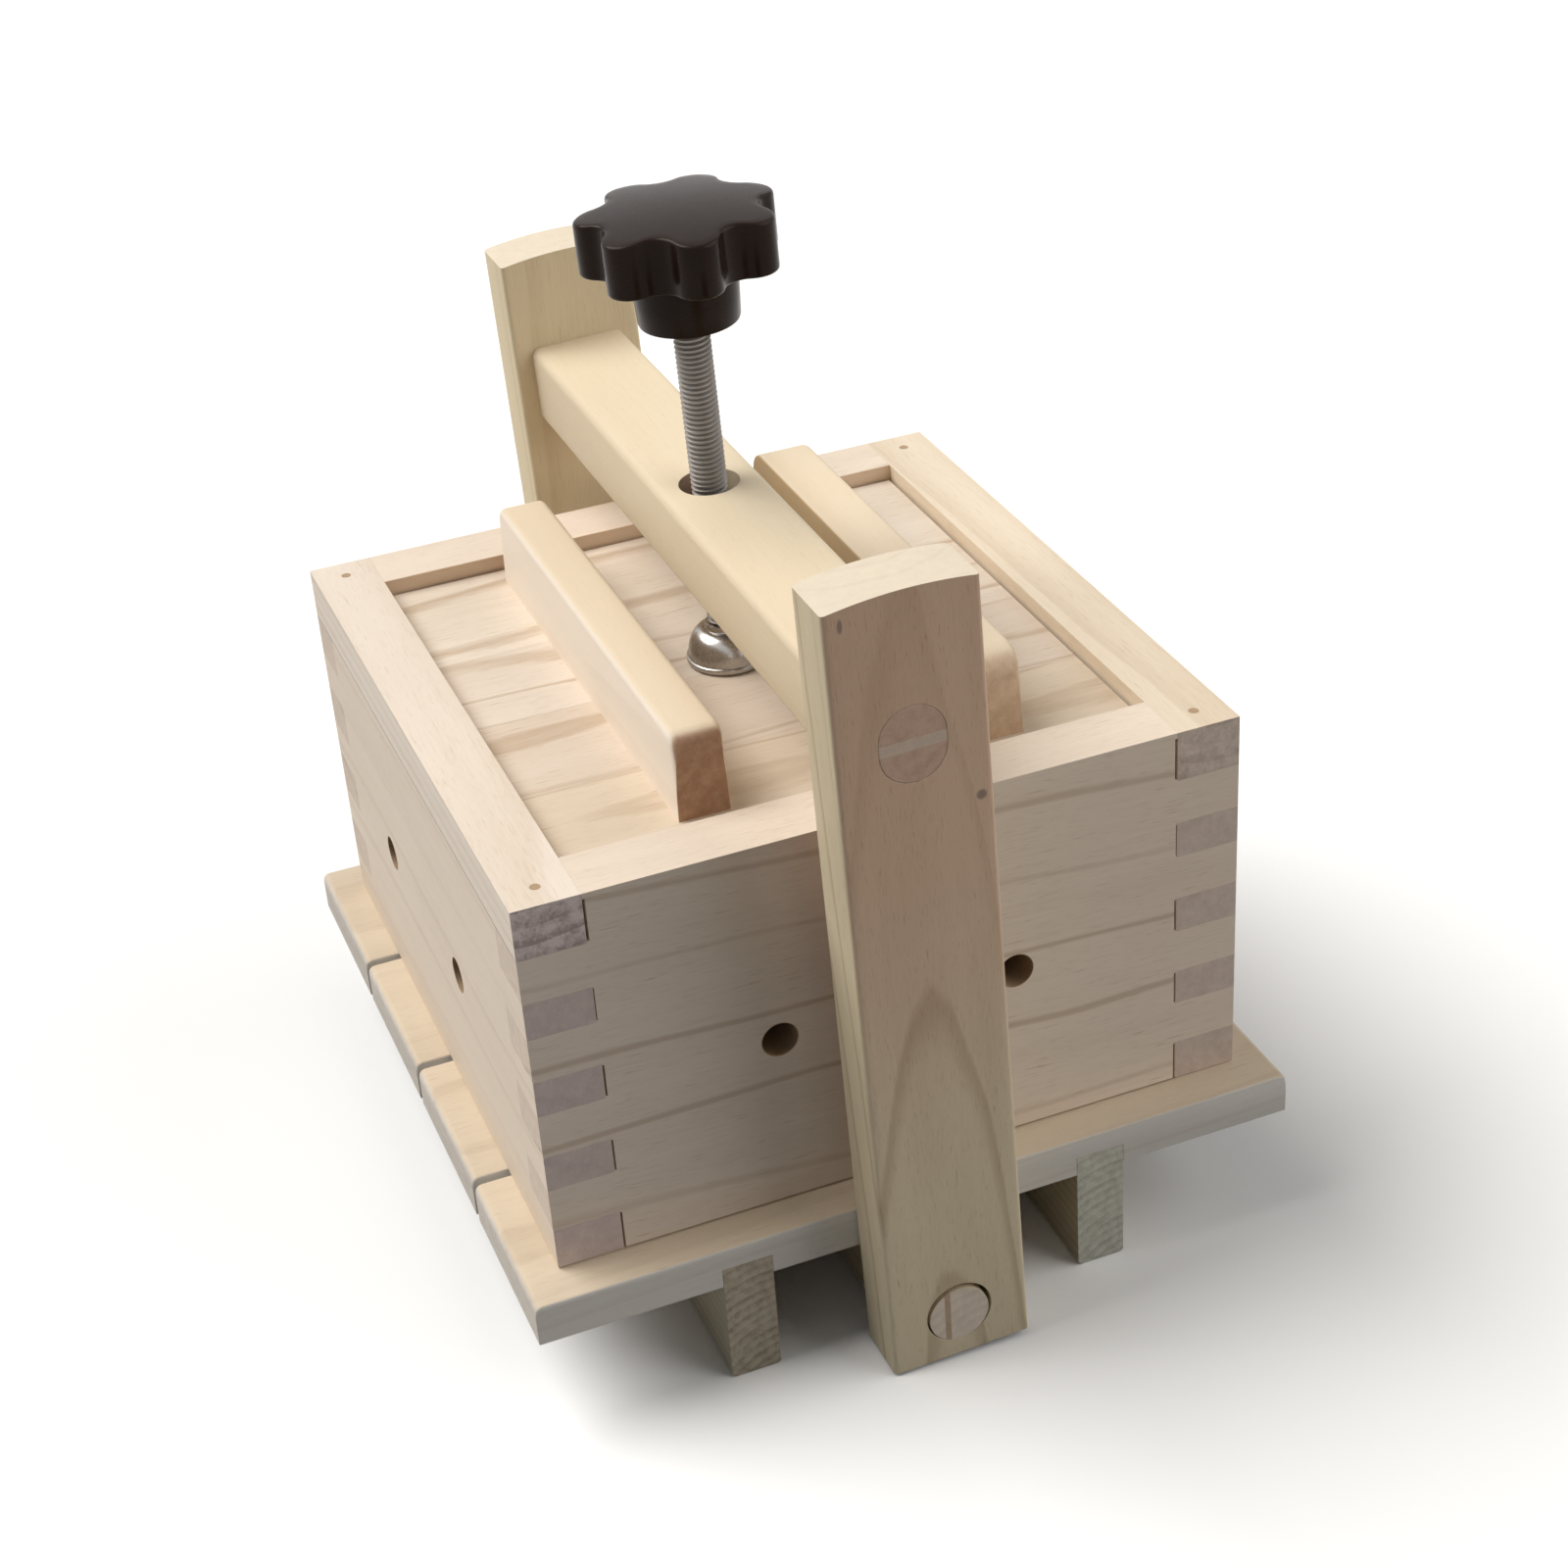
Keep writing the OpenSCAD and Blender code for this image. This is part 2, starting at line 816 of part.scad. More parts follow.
base_slat(0);  // base_slat_1
base_slat(1);  // base_slat_2
base_slat(2);  // base_slat_3
base_slat(3);  // base_slat_4
foot_bar(-1);  // foot_left
foot_bar(1);  // foot_right
base_screws();
bottom_bar();
bar_wedge(-1);  // bar_wedge_front
bar_wedge(1);  // bar_wedge_back
upright(-1);  // front_upright
upright(1);  // back_upright
top_beam();
beam_wedge(-1);  // beam_wedge_front
beam_wedge(1);  // beam_wedge_back
beam_nut();
nut_screws();
screw_rod();
star_knob();
knob_insert();
pressure_foot();
foot_retainer();
cross_wall(-1);  // front_wall
cross_wall(1);  // back_wall
side_wall(-1);  // left_wall
side_strip(-1);  // left_wall_strip
side_wall(1);  // right_wall
side_strip(1);  // right_wall_strip
corner_pins();
plate_board(0);  // plate_board_1
plate_board(1);  // plate_board_2
plate_board(2);  // plate_board_3
plate_board(3);  // plate_board_4
batten(left_batten_mid, left_batten_w, left_end_r);  // batten_left
batten(right_batten_mid, right_batten_w, right_end_r);  // batten_right
batten_screws();
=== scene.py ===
import math

import bmesh
import bpy
from mathutils import Euler, Matrix, Vector


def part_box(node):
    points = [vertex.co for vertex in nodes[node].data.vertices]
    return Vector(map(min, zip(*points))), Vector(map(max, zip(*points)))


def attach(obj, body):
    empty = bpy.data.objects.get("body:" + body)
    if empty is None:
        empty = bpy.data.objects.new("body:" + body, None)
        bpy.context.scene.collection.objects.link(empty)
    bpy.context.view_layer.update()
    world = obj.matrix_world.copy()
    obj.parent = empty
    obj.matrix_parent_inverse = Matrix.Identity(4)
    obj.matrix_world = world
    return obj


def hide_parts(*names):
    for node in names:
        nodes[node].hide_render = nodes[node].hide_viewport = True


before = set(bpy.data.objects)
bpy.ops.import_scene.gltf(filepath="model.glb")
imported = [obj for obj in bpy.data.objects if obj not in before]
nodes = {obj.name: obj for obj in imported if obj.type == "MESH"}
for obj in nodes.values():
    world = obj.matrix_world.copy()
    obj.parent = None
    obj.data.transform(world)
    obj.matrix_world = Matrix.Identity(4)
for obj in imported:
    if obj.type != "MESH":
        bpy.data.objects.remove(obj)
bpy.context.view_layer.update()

# Everything below is in metres; lengths given in millimetres go through this
MM = 0.001
# Points closer than this count as touching a face, and as level with each other
NEAR = 0.01 * MM
LEVEL = 0.001 * MM

# Box
WALL = 22 * MM
BOX_X = 120 * MM
BOX_Y = 123 * MM
FLOOR_Z = 53.5 * MM
RIM_Z = 188.5 * MM
STRIP_Z = 171 * MM
LOW_FINGER = 15.5 * MM
CROSS_FINGER = 15.75 * MM
SIDE_FINGER = 13 * MM
DRAIN_R = 6 * MM
END_DRAIN_X = 40.5 * MM
END_DRAIN_Z = FLOOR_Z + 63 * MM
SIDE_DRAIN_Y = (-34.5 * MM, 48.5 * MM)
SIDE_DRAIN_Z = FLOOR_Z + 57 * MM
PIN_R = 1.6 * MM
PIN_X = 109 * MM
PIN_Y = 113 * MM
SLIT = 0.65 * MM
SLIT_DEEP = 4 * MM
SLIT_SHORT = 0.6 * MM
UNDER_GAP = 0.7 * MM
WALL_ROUND = 0.9 * MM

# Base
FOOT_X = 62.5 * MM
FOOT_HALF = 8.5 * MM
FOOT_ROUND = 1.5 * MM
GROOVE_TOP = 45.5 * MM
FOOT_HOLE_R = 4 * MM
FOOT_HOLE_DEEP = 8 * MM
FOOT_HOLE_Y = [y * MM for y in (-104.25, -34.75, 34.75, 104.25)]
SLAT_ROUND = 1 * MM
SLAT_END_ROUND = 2.5 * MM

# Hinge bar and yoke, heights counted from the turning axis
PIVOT_Z = 19 * MM
LEAN = math.radians(1.8)
BAR_HALF = 17 * MM
BAR_LOW = 1.5 * MM
BAR_TOP = 38.5 * MM
BEAM_HALF = 17.5 * MM
BASE_Y = 137.5 * MM
YOKE_IN = 138.3 * MM
YOKE_OUT = 160.3 * MM
TENON_R = 10.3 * MM
TENON_Z = 18.06 * MM
HINGE_HOLE_R = 11.3 * MM
POST_HALF = 24 * MM
POST_LOW = -17.5 * MM
POST_TOP = 262 * MM
CROWN = 2 * MM
BEAM_LOW = 201.5 * MM
BEAM_TOP = 229.5 * MM
OVAL_Z = 214.5 * MM
OVAL_R = 10.5 * MM
OVAL_HALF = 2 * MM
JOINT_LINE = 0.14 * MM
WEDGE_DEEP = 19 * MM
WEDGE_TIP = 0.6 * MM
WEDGE_REACH = 20 * MM
BAR_WEDGE_HALF = 1 * MM
BAR_WEDGE_X = -4 * MM
BEAM_WEDGE_HALF = 1.9 * MM
NUT_SEAT_R = 15.5 * MM
NUT_SEAT_DEEP = 2 * MM
NUT_BORE_R = 8 * MM
NUT_BORE_DEEP = 14.5 * MM
SCREW_BORE_R = 10 * MM

# Screw, knob and foot, heights counted from the turning axis
PAD_Z = 164.837 * MM
BALL_Z = PAD_Z + 8 * MM
ROD_LOW = PAD_Z + 14.4 * MM
HUB_Z = 286.1 * MM
GRIP_Z = 304.5 * MM
ROD_TOP = HUB_Z + 19.2 * MM
PITCH = 1.75 * MM
THREAD_TURNS = 75
THREAD_STEPS = 28

# Plate
PLATE_TOP = 183 * MM
BATTEN_Y = 91 * MM
BATTEN_TOP = 213 * MM
BATTEN_ROUND = 2.5 * MM
BATTEN_SHARP = 0.8 * MM


# Working by hand: one piece at a time

def only(piece):
    bpy.ops.object.select_all(action="DESELECT")
    piece.select_set(True)
    bpy.context.view_layer.objects.active = piece


def name_new(name):
    piece = bpy.context.object
    piece.name = name
    piece.data.name = name
    bpy.ops.object.transform_apply(location=True, rotation=True, scale=True)
    return piece


def add_block(name, low, high):
    bpy.ops.object.select_all(action="DESELECT")
    centre = [(a + b) / 2 for a, b in zip(low, high)]
    bpy.ops.mesh.primitive_cube_add(size=1, location=centre)
    bpy.context.object.scale = [b - a for a, b in zip(low, high)]
    return name_new(name)


def add_peg(name, radius, start, end, around=64):
    bpy.ops.object.select_all(action="DESELECT")
    start, end = Vector(start), Vector(end)
    turn = (end - start).to_track_quat("Z", "Y").to_euler()
    bpy.ops.mesh.primitive_cylinder_add(
        vertices=around, radius=radius, depth=(end - start).length,
        location=(start + end) / 2, rotation=turn)
    return name_new(name)


def open_edit(piece, kind):
    only(piece)
    bpy.ops.object.mode_set(mode="EDIT")
    bpy.ops.mesh.select_mode(type=kind)
    take_none()


def take_all():
    bpy.ops.mesh.select_all(action="SELECT")


def take_none():
    bpy.ops.mesh.select_all(action="DESELECT")


def face_outwards():
    take_all()
    bpy.ops.mesh.normals_make_consistent(inside=False)


def close_edit():
    bpy.ops.object.mode_set(mode="OBJECT")


def pick(piece, kind, test):
    shape = bmesh.from_edit_mesh(piece.data)
    parts = {"VERT": shape.verts, "EDGE": shape.edges, "FACE": shape.faces}[kind]
    for part in parts:
        if test(part):
            part.select_set(True)
    bmesh.update_edit_mesh(piece.data)


def halfway(edge):
    return (edge.verts[0].co + edge.verts[1].co) / 2


def runs_along(edge, axis):
    way = edge.verts[1].co - edge.verts[0].co
    return way.length > 0.1 * LEVEL and abs(way.normalized()[axis]) > 0.999


def round_over(piece, radius, test, steps=4):
    """Rounds the edges that pass the test, as with a router."""
    open_edit(piece, "EDGE")
    pick(piece, "EDGE", test)
    bpy.ops.mesh.bevel(offset=radius, offset_type="OFFSET", segments=steps, profile=0.5, affect="EDGES")
    close_edit()


def slice_at(piece, axis, places):
    """Cuts loops across a piece at these places on one axis."""
    open_edit(piece, "VERT")
    across = Vector((0, 0, 0))
    across[axis] = 1
    for place in places:
        take_all()
        bpy.ops.mesh.bisect(plane_co=across * place, plane_no=across)
    close_edit()


def combine(piece, others, way="DIFFERENCE"):
    """Cuts, joins or trims a piece with others, which are used up."""
    for other in others:
        only(piece)
        bpy.ops.object.modifier_add(type="BOOLEAN")
        step = piece.modifiers[-1]
        step.operation = way
        step.solver = "EXACT"
        step.object = other
        bpy.ops.object.modifier_apply(modifier=step.name)
        bpy.data.meshes.remove(other.data)
    return piece


def join_all(pieces):
    """Makes loose pieces one object."""
    bpy.ops.object.select_all(action="DESELECT")
    for piece in pieces:
        piece.select_set(True)
    bpy.context.view_layer.objects.active = pieces[0]
    bpy.ops.object.join()
    return pieces[0]


def soften(piece, width, steps=2, limit=40):
    """Breaks every sharp edge that is left and shades the piece smooth."""
    only(piece)
    bpy.ops.object.shade_smooth()
    bpy.ops.object.modifier_add(type="BEVEL")
    step = piece.modifiers[-1]
    step.width = width
    step.segments = steps
    step.limit_method = "ANGLE"
    step.angle_limit = math.radians(limit)
    step.harden_normals = True
    bpy.ops.object.modifier_apply(modifier=step.name)
    return piece


def set_on_yoke(piece):
    """Moves a piece drawn above the turning axis to the lean of the yoke."""
    only(piece)
    piece.location = (0, 0, PIVOT_Z)
    piece.rotation_euler = (0, -LEAN, 0)
    bpy.ops.object.transform_apply(location=True, rotation=True, scale=True)
    return piece


def place_ring(piece, place):
    """Extrudes the selected ring and puts its points where they go."""
    bpy.ops.mesh.extrude_region_move()
    shape = bmesh.from_edit_mesh(piece.data)
    for point in shape.verts:
        if point.select:
            point.co = place(point.co)
    bmesh.update_edit_mesh(piece.data)


def turn_rings(name, rings, around=64, closed=False):
    """Turns a piece from rings of radius and height, closed at both ends or into itself."""
    bpy.ops.object.select_all(action="DESELECT")
    bpy.ops.mesh.primitive_circle_add(
        vertices=around, radius=rings[0][0], fill_type="NOTHING" if closed else "NGON",
        location=(0, 0, rings[0][1]))
    piece = name_new(name)
    open_edit(piece, "VERT")
    take_all()
    for radius, height in rings[1:] + (rings[:1] if closed else []):
        def on_ring(spot):
            flat = Vector((spot.x, spot.y, 0)).normalized() * radius
            return Vector((flat.x, flat.y, height))
        place_ring(piece, on_ring)
    if closed:
        take_all()
        bpy.ops.mesh.remove_doubles(threshold=LEVEL)
    face_outwards()
    close_edit()
    return piece


# Wood, metal and plastic

def add_node(tree, kind, **settings):
    node = tree.nodes.new(kind)
    for key, value in settings.items():
        setattr(node, key, value)
    return node


def feed(tree, socket, source):
    if isinstance(source, bpy.types.NodeSocket):
        tree.links.new(source, socket)
    elif source is not None:
        socket.default_value = source


def sums(tree, work, first, second=None, third=None, clamp=False):
    node = add_node(tree, "ShaderNodeMath", operation=work, use_clamp=clamp)
    for socket, source in zip(node.inputs, (first, second, third)):
        feed(tree, socket, source)
    return node.outputs[0]


def vectors(tree, work, first, second=None):
    node = add_node(tree, "ShaderNodeVectorMath", operation=work)
    feed(tree, node.inputs[0], first)
    feed(tree, node.inputs[1], second)
    return node.outputs["Value"] if work in ("LENGTH", "DOT_PRODUCT") else node.outputs[0]


def noise(tree, spot, stretch, detail=2.0, rough=0.5, colour=False):
    """Soft noise; the stretch gives how many waves it has in a millimetre along each axis."""
    node = add_node(tree, "ShaderNodeTexNoise")
    feed(tree, node.inputs["Vector"], vectors(tree, "MULTIPLY", spot, stretch))
    node.inputs["Scale"].default_value = 1
    node.inputs["Detail"].default_value = detail
    node.inputs["Roughness"].default_value = rough
    return node.outputs["Color" if colour else "Fac"]


def ease(tree, value, low, high, out_low=0.0, out_high=1.0):
    """Goes smoothly from one value to the other as the first goes from low to high."""
    node = add_node(tree, "ShaderNodeMapRange", interpolation_type="SMOOTHSTEP")
    for socket, source in zip(node.inputs, (value, low, high, out_low, out_high)):
        feed(tree, socket, source)
    return node.outputs[0]


def blend_colours(tree, share, first, second, way="MIX"):
    node = add_node(tree, "ShaderNodeMix", data_type="RGBA", blend_type=way)
    feed(tree, node.inputs[0], share)
    feed(tree, node.inputs[6], first)
    feed(tree, node.inputs[7], second)
    return node.outputs[2]


def new_group(name, inputs, outputs):
    tree = bpy.data.node_groups.new(name, "ShaderNodeTree")
    for title, kind, value in inputs:
        socket = tree.interface.new_socket(name=title, in_out="INPUT", socket_type=kind)
        if value is not None:
            socket.default_value = value
    for title, kind in outputs:
        tree.interface.new_socket(name=title, in_out="OUTPUT", socket_type=kind)
    return tree, tree.nodes.new("NodeGroupInput").outputs, tree.nodes.new("NodeGroupOutput").inputs


def make_plank_grain():
    """Sawn wood with its pith along X: rings, streaks, pores and end grain, in millimetres."""
    tree, given, made = new_group("plank grain", [
        ("Vector", "NodeSocketVector", None),
        ("Normal", "NodeSocketVector", None),
        ("Pale", "NodeSocketColor", (0.8, 0.66, 0.48, 1)),
        ("Dark", "NodeSocketColor", (0.6, 0.42, 0.25, 1)),
        ("End", "NodeSocketColor", (0.5, 0.36, 0.27, 1)),
        ("Ring Width", "NodeSocketFloat", 5.0),
        ("Late Start", "NodeSocketFloat", 0.25),
        ("Rings", "NodeSocketFloat", 0.35),
        ("Streaks", "NodeSocketFloat", 0.5),
        ("Fibres", "NodeSocketFloat", 0.35),
        ("Wander", "NodeSocketFloat", 8.0),
        ("Specks", "NodeSocketFloat", 0.8),
        ("Edge", "NodeSocketColor", (0.66, 0.65, 0.62, 1)),
        ("Edge Share", "NodeSocketFloat", 0.0),
        ("Drift", "NodeSocketColor", (1, 1, 1, 1)),
        ("Drift From", "NodeSocketFloat", 0.0),
        ("Drift To", "NodeSocketFloat", 200.0),
    ], [("Color", "NodeSocketColor"), ("Roughness", "NodeSocketFloat"), ("Height", "NodeSocketFloat")])
    spot = vectors(tree, "MULTIPLY", given["Vector"], (1000, 1000, 1000))

    # The rings wander slowly along the board and tremble a little across it
    middle = (0.5, 0.5, 0.5)
    wander = vectors(tree, "SUBTRACT", noise(tree, spot, (0.004, 0.017, 0.017), 2, 0.5, True), middle)
    aside = add_node(tree, "ShaderNodeCombineXYZ")
    feed(tree, aside.inputs[1], given["Wander"])
    feed(tree, aside.inputs[2], given["Wander"])
    wander = vectors(tree, "MULTIPLY", wander, aside.outputs[0])
    tremble = vectors(tree, "SUBTRACT", noise(tree, spot, (0.03, 0.22, 0.22), 2, 0.6, True), middle)
    tremble = vectors(tree, "MULTIPLY", tremble, (0, 0.8, 0.8))
    grown = vectors(tree, "ADD", spot, vectors(tree, "ADD", wander, tremble))
    grown = vectors(tree, "MULTIPLY", grown, (0, 1, 1))

    # Each ring darkens towards its end by an amount of its own
    year = sums(tree, "DIVIDE", vectors(tree, "LENGTH", grown), given["Ring Width"])
    share = sums(tree, "FRACT", year)
    late = ease(tree, share, given["Late Start"], 0.92)
    late = sums(tree, "MULTIPLY", late, ease(tree, share, 1.0, 0.93))
    luck = add_node(tree, "ShaderNodeTexWhiteNoise", noise_dimensions="1D")
    feed(tree, luck.inputs["W"], sums(tree, "FLOOR", year))
    late = sums(tree, "MULTIPLY", late, sums(tree, "MULTIPLY_ADD", luck.outputs["Value"], 0.8, 0.45))

    # Tone of a face along the grain
    streaks = noise(tree, spot, (0.005, 0.11, 0.11), 3, 0.6)
    fibres = noise(tree, spot, (0.035, 1.3, 1.3), 3, 0.65)
    cloud = noise(tree, spot, (0.008, 0.03, 0.03), 2, 0.5)
    pores = ease(tree, noise(tree, spot, (0.13, 2.6, 2.6), 1, 0.5), 0.6, 0.72)

    tone = sums(tree, "MULTIPLY", late, given["Rings"])
    tone = sums(tree, "MULTIPLY_ADD", sums(tree, "SUBTRACT", streaks, 0.47), given["Streaks"], tone)
    tone = sums(tree, "MULTIPLY_ADD", sums(tree, "SUBTRACT", fibres, 0.5), given["Fibres"], tone)
    tone = sums(tree, "MULTIPLY_ADD", sums(tree, "SUBTRACT", cloud, 0.5), 0.5, tone)
    tone = sums(tree, "MULTIPLY_ADD", pores, sums(tree, "MULTIPLY", given["Fibres"], 0.9), tone)
    dashes = ease(tree, noise(tree, spot, (0.09, 1.5, 1.5), 1, 0.5), 0.68, 0.78)
    tone = sums(tree, "MULTIPLY_ADD", dashes, sums(tree, "MULTIPLY", given["Fibres"], 1.6), tone)
    tone = sums(tree, "ADD", tone, 0.12, clamp=True)
    face = blend_colours(tree, tone, given["Pale"], given["Dark"])

    # Tone of an end: mottled, with the rings showing through
    speckle = noise(tree, spot, (0.1, 1.1, 1.1), 3, 0.7)
    patch = noise(tree, spot, (0.02, 0.33, 0.33), 2, 0.55)
    mottle = sums(tree, "SUBTRACT", speckle, 0.5)
    mottle = sums(tree, "MULTIPLY_ADD", sums(tree, "SUBTRACT", patch, 0.5), 1.6, mottle)
    end_rings = sums(tree, "MULTIPLY", sums(tree, "SUBTRACT", late, 0.3), given["Rings"])
    mottle = sums(tree, "MULTIPLY_ADD", end_rings, 1.1, mottle)
    end_tone = sums(tree, "MULTIPLY_ADD", mottle, given["Specks"], 0.4, clamp=True)
    end_pale = blend_colours(tree, 0.35, given["End"], given["Pale"])
    end_dark = blend_colours(tree, 1.0, given["End"], (0.62, 0.58, 0.56, 1), "MULTIPLY")
    end = blend_colours(tree, end_tone, end_pale, end_dark)

    # Faces across the local Y axis may drift in tone along the board, as a tint on the front post and as painted
    # shade towards the left end of the front wall, and may take the edge tone: weathered grey on the slats, painted
    # light on the left handle's sides and painted shade on the right handle's sides
    lie = add_node(tree, "ShaderNodeSeparateXYZ")
    feed(tree, lie.inputs[0], given["Normal"])
    is_end = ease(tree, sums(tree, "ABSOLUTE", lie.outputs[0]), 0.45, 0.85)
    is_edge = ease(tree, sums(tree, "ABSOLUTE", lie.outputs[1]), 0.45, 0.85)
    along = add_node(tree, "ShaderNodeSeparateXYZ")
    feed(tree, along.inputs[0], spot)
    drifted = ease(tree, along.outputs[0], given["Drift From"], given["Drift To"])
    tinted_and_shaded = blend_colours(tree, 1.0, face, given["Drift"], "MULTIPLY")
    face = blend_colours(tree, sums(tree, "MULTIPLY", drifted, is_edge), face, tinted_and_shaded)
    # Weathered grey on the slats' sawn faces; on the handles' sides this tone is painted light and painted shade
    grey_edge_and_painted_side = blend_colours(tree, sums(tree, "MULTIPLY", tone, 0.5), given["Edge"], given["Dark"])
    face = blend_colours(tree, sums(tree, "MULTIPLY", is_edge, given["Edge Share"]), face, grey_edge_and_painted_side)
    feed(tree, made["Color"], blend_colours(tree, is_end, face, end))

    rough = sums(tree, "MULTIPLY_ADD", fibres, 0.22, 0.46)
    feed(tree, made["Roughness"], sums(tree, "MULTIPLY_ADD", is_end, 0.12, rough, clamp=True))
    height = sums(tree, "MULTIPLY_ADD", pores, -0.8, fibres)
    height = sums(tree, "MULTIPLY_ADD", late, 0.25, height)
    end_height = sums(tree, "MULTIPLY", speckle, is_end)
    feed(tree, made["Height"], sums(tree, "ADD", height, end_height))
    return tree


def make_fine_wear():
    """Fine scratches and faint smears for metal and plastic."""
    tree, given, made = new_group("fine wear", [
        ("Vector", "NodeSocketVector", None),
        ("Stretch", "NodeSocketVector", (1, 1, 1)),
        ("Low", "NodeSocketFloat", 0.2),
        ("High", "NodeSocketFloat", 0.4),
    ], [("Roughness", "NodeSocketFloat"), ("Height", "NodeSocketFloat"), ("Mask", "NodeSocketFloat")])
    spot = vectors(tree, "MULTIPLY", given["Vector"], (1000, 1000, 1000))
    lines = noise(tree, vectors(tree, "MULTIPLY", spot, given["Stretch"]), (1.5, 1.5, 1.5), 3, 0.7)
    smears = noise(tree, spot, (0.07, 0.07, 0.07), 3, 0.6)
    mask = sums(tree, "MULTIPLY_ADD", lines, 0.45, sums(tree, "MULTIPLY", smears, 0.55))
    feed(tree, made["Roughness"], ease(tree, mask, 0.3, 0.7, given["Low"], given["High"]))
    feed(tree, made["Height"], lines)
    feed(tree, made["Mask"], ease(tree, mask, 0.35, 0.65))
    return tree


plank_grain = make_plank_grain()
fine_wear = make_fine_wear()

# Turns that lay the grain along the length of a piece
ALONG_X = (0, 0, 0)
ALONG_Y = (0, 0, 90)
UPRIGHT = (0, -90 - 1.8, 0)


def new_material(name):
    material = bpy.data.materials.new(name)
    material.use_nodes = True
    tree = material.node_tree
    tree.nodes.clear()
    shader = tree.nodes.new("ShaderNodeBsdfPrincipled")
    out = tree.nodes.new("ShaderNodeOutputMaterial")
    tree.links.new(shader.outputs[0], out.inputs["Surface"])
    return material, tree, shader


def bump(tree, shader, height, strength, depth):
    node = add_node(tree, "ShaderNodeBump")
    node.inputs["Strength"].default_value = strength
    node.inputs["Distance"].default_value = depth
    feed(tree, node.inputs["Height"], height)
    feed(tree, shader.inputs["Normal"], node.outputs[0])


def laid_along(tree, pith, turn, tilt):
    """Object coordinates and normal seen from a board's pith line."""
    turned, tilted = (Euler([math.radians(a) for a in angles]).to_matrix() for angles in (turn, tilt))
    turned = turned @ tilted
    where = add_node(tree, "ShaderNodeTexCoord")
    spot = add_node(tree, "ShaderNodeMapping", vector_type="TEXTURE")
    spot.inputs["Location"].default_value = [a * MM for a in pith]
    spot.inputs["Rotation"].default_value = turned.to_euler()
    feed(tree, spot.inputs["Vector"], where.outputs["Object"])
    lie = add_node(tree, "ShaderNodeMapping", vector_type="TEXTURE")
    lie.inputs["Rotation"].default_value = turned.to_euler()
    feed(tree, lie.inputs["Vector"], where.outputs["Normal"])
    return spot.outputs[0], lie.outputs[0]


# Tone of a knot, painted shade for the bores of the drain holes, and painted shade with warm painted bounce light for
# the back wall's inner face
KNOT_TONE = (0.28, 0.20, 0.155, 1)
BORE_SHADE = (0.34, 0.23, 0.14, 1)
INNER_SHADE_AND_BOUNCE = (0.70, 0.51, 0.35, 1)
# A sharp edge for a tone that ends where a face does
SHARP_FADE = (1.06, 1.01)


def wood(name, pith, turn, tilt=(0, 0, 0), pale=(0.79, 0.645, 0.47), dark=(0.60, 0.425, 0.27),
         end=(0.46, 0.345, 0.275), ring_width=5.0, late_start=0.25, rings=0.35, streaks=0.4, fibres=0.3,
         wander=8.0, specks=0.8, edge=(0.66, 0.65, 0.62), edge_share=0.0, drift=(1, 1, 1),
         drift_span=(0, 200), gloss=0.3):
    material, tree, shader = new_material(name)
    spot, lie = laid_along(tree, pith, turn, tilt)
    grain = add_node(tree, "ShaderNodeGroup", node_tree=plank_grain)
    feed(tree, grain.inputs["Vector"], spot)
    feed(tree, grain.inputs["Normal"], lie)
    for title, value in (("Pale", (*pale, 1)), ("Dark", (*dark, 1)), ("End", (*end, 1)),
                         ("Ring Width", ring_width), ("Late Start", late_start), ("Rings", rings),
                         ("Streaks", streaks), ("Fibres", fibres), ("Wander", wander), ("Specks", specks),
                         ("Edge", (*edge, 1)), ("Edge Share", edge_share), ("Drift", (*drift, 1)),
                         ("Drift From", drift_span[0]), ("Drift To", drift_span[1])):
        grain.inputs[title].default_value = value
    feed(tree, shader.inputs["Base Color"], grain.outputs["Color"])
    feed(tree, shader.inputs["Roughness"], grain.outputs["Roughness"])
    shader.inputs["Specular IOR Level"].default_value = gloss
    bump(tree, shader, grain.outputs["Height"], 0.3, 0.0001)
    return material


def add_spot(material, place, radius, stretch=(1, 1, 1), fade=(1.3, 0.6), tone=KNOT_TONE, strength=1.0):
    """Another tone near a place: a knot, or with a stretch of 0 along an axis a bore or a whole face."""
    tree = material.node_tree
    shader = tree.nodes["Principled BSDF"]
    colour = shader.inputs["Base Color"].links[0].from_socket
    where = add_node(tree, "ShaderNodeTexCoord")
    offset = vectors(tree, "SUBTRACT", where.outputs["Object"], place)
    away = vectors(tree, "LENGTH", vectors(tree, "MULTIPLY", offset, stretch))
    mask = ease(tree, away, fade[0] * radius, fade[1] * radius, 0.0, strength)
    feed(tree, shader.inputs["Base Color"], blend_colours(tree, mask, colour, tone))


def metal(name, colour, low, high, stretch=(1, 1, 1), grip=0.1):
    material, tree, shader = new_material(name)
    where = add_node(tree, "ShaderNodeTexCoord")
    wear = add_node(tree, "ShaderNodeGroup", node_tree=fine_wear)
    feed(tree, wear.inputs["Vector"], where.outputs["Object"])
    wear.inputs["Stretch"].default_value = stretch
    wear.inputs["Low"].default_value = low
    wear.inputs["High"].default_value = high
    dull = tuple(0.82 * c for c in colour)
    feed(tree, shader.inputs["Base Color"],
         blend_colours(tree, wear.outputs["Mask"], (*colour, 1), (*dull, 1)))
    feed(tree, shader.inputs["Roughness"], wear.outputs["Roughness"])
    shader.inputs["Metallic"].default_value = 1
    bump(tree, shader, wear.outputs["Height"], grip, 0.00004)
    return material


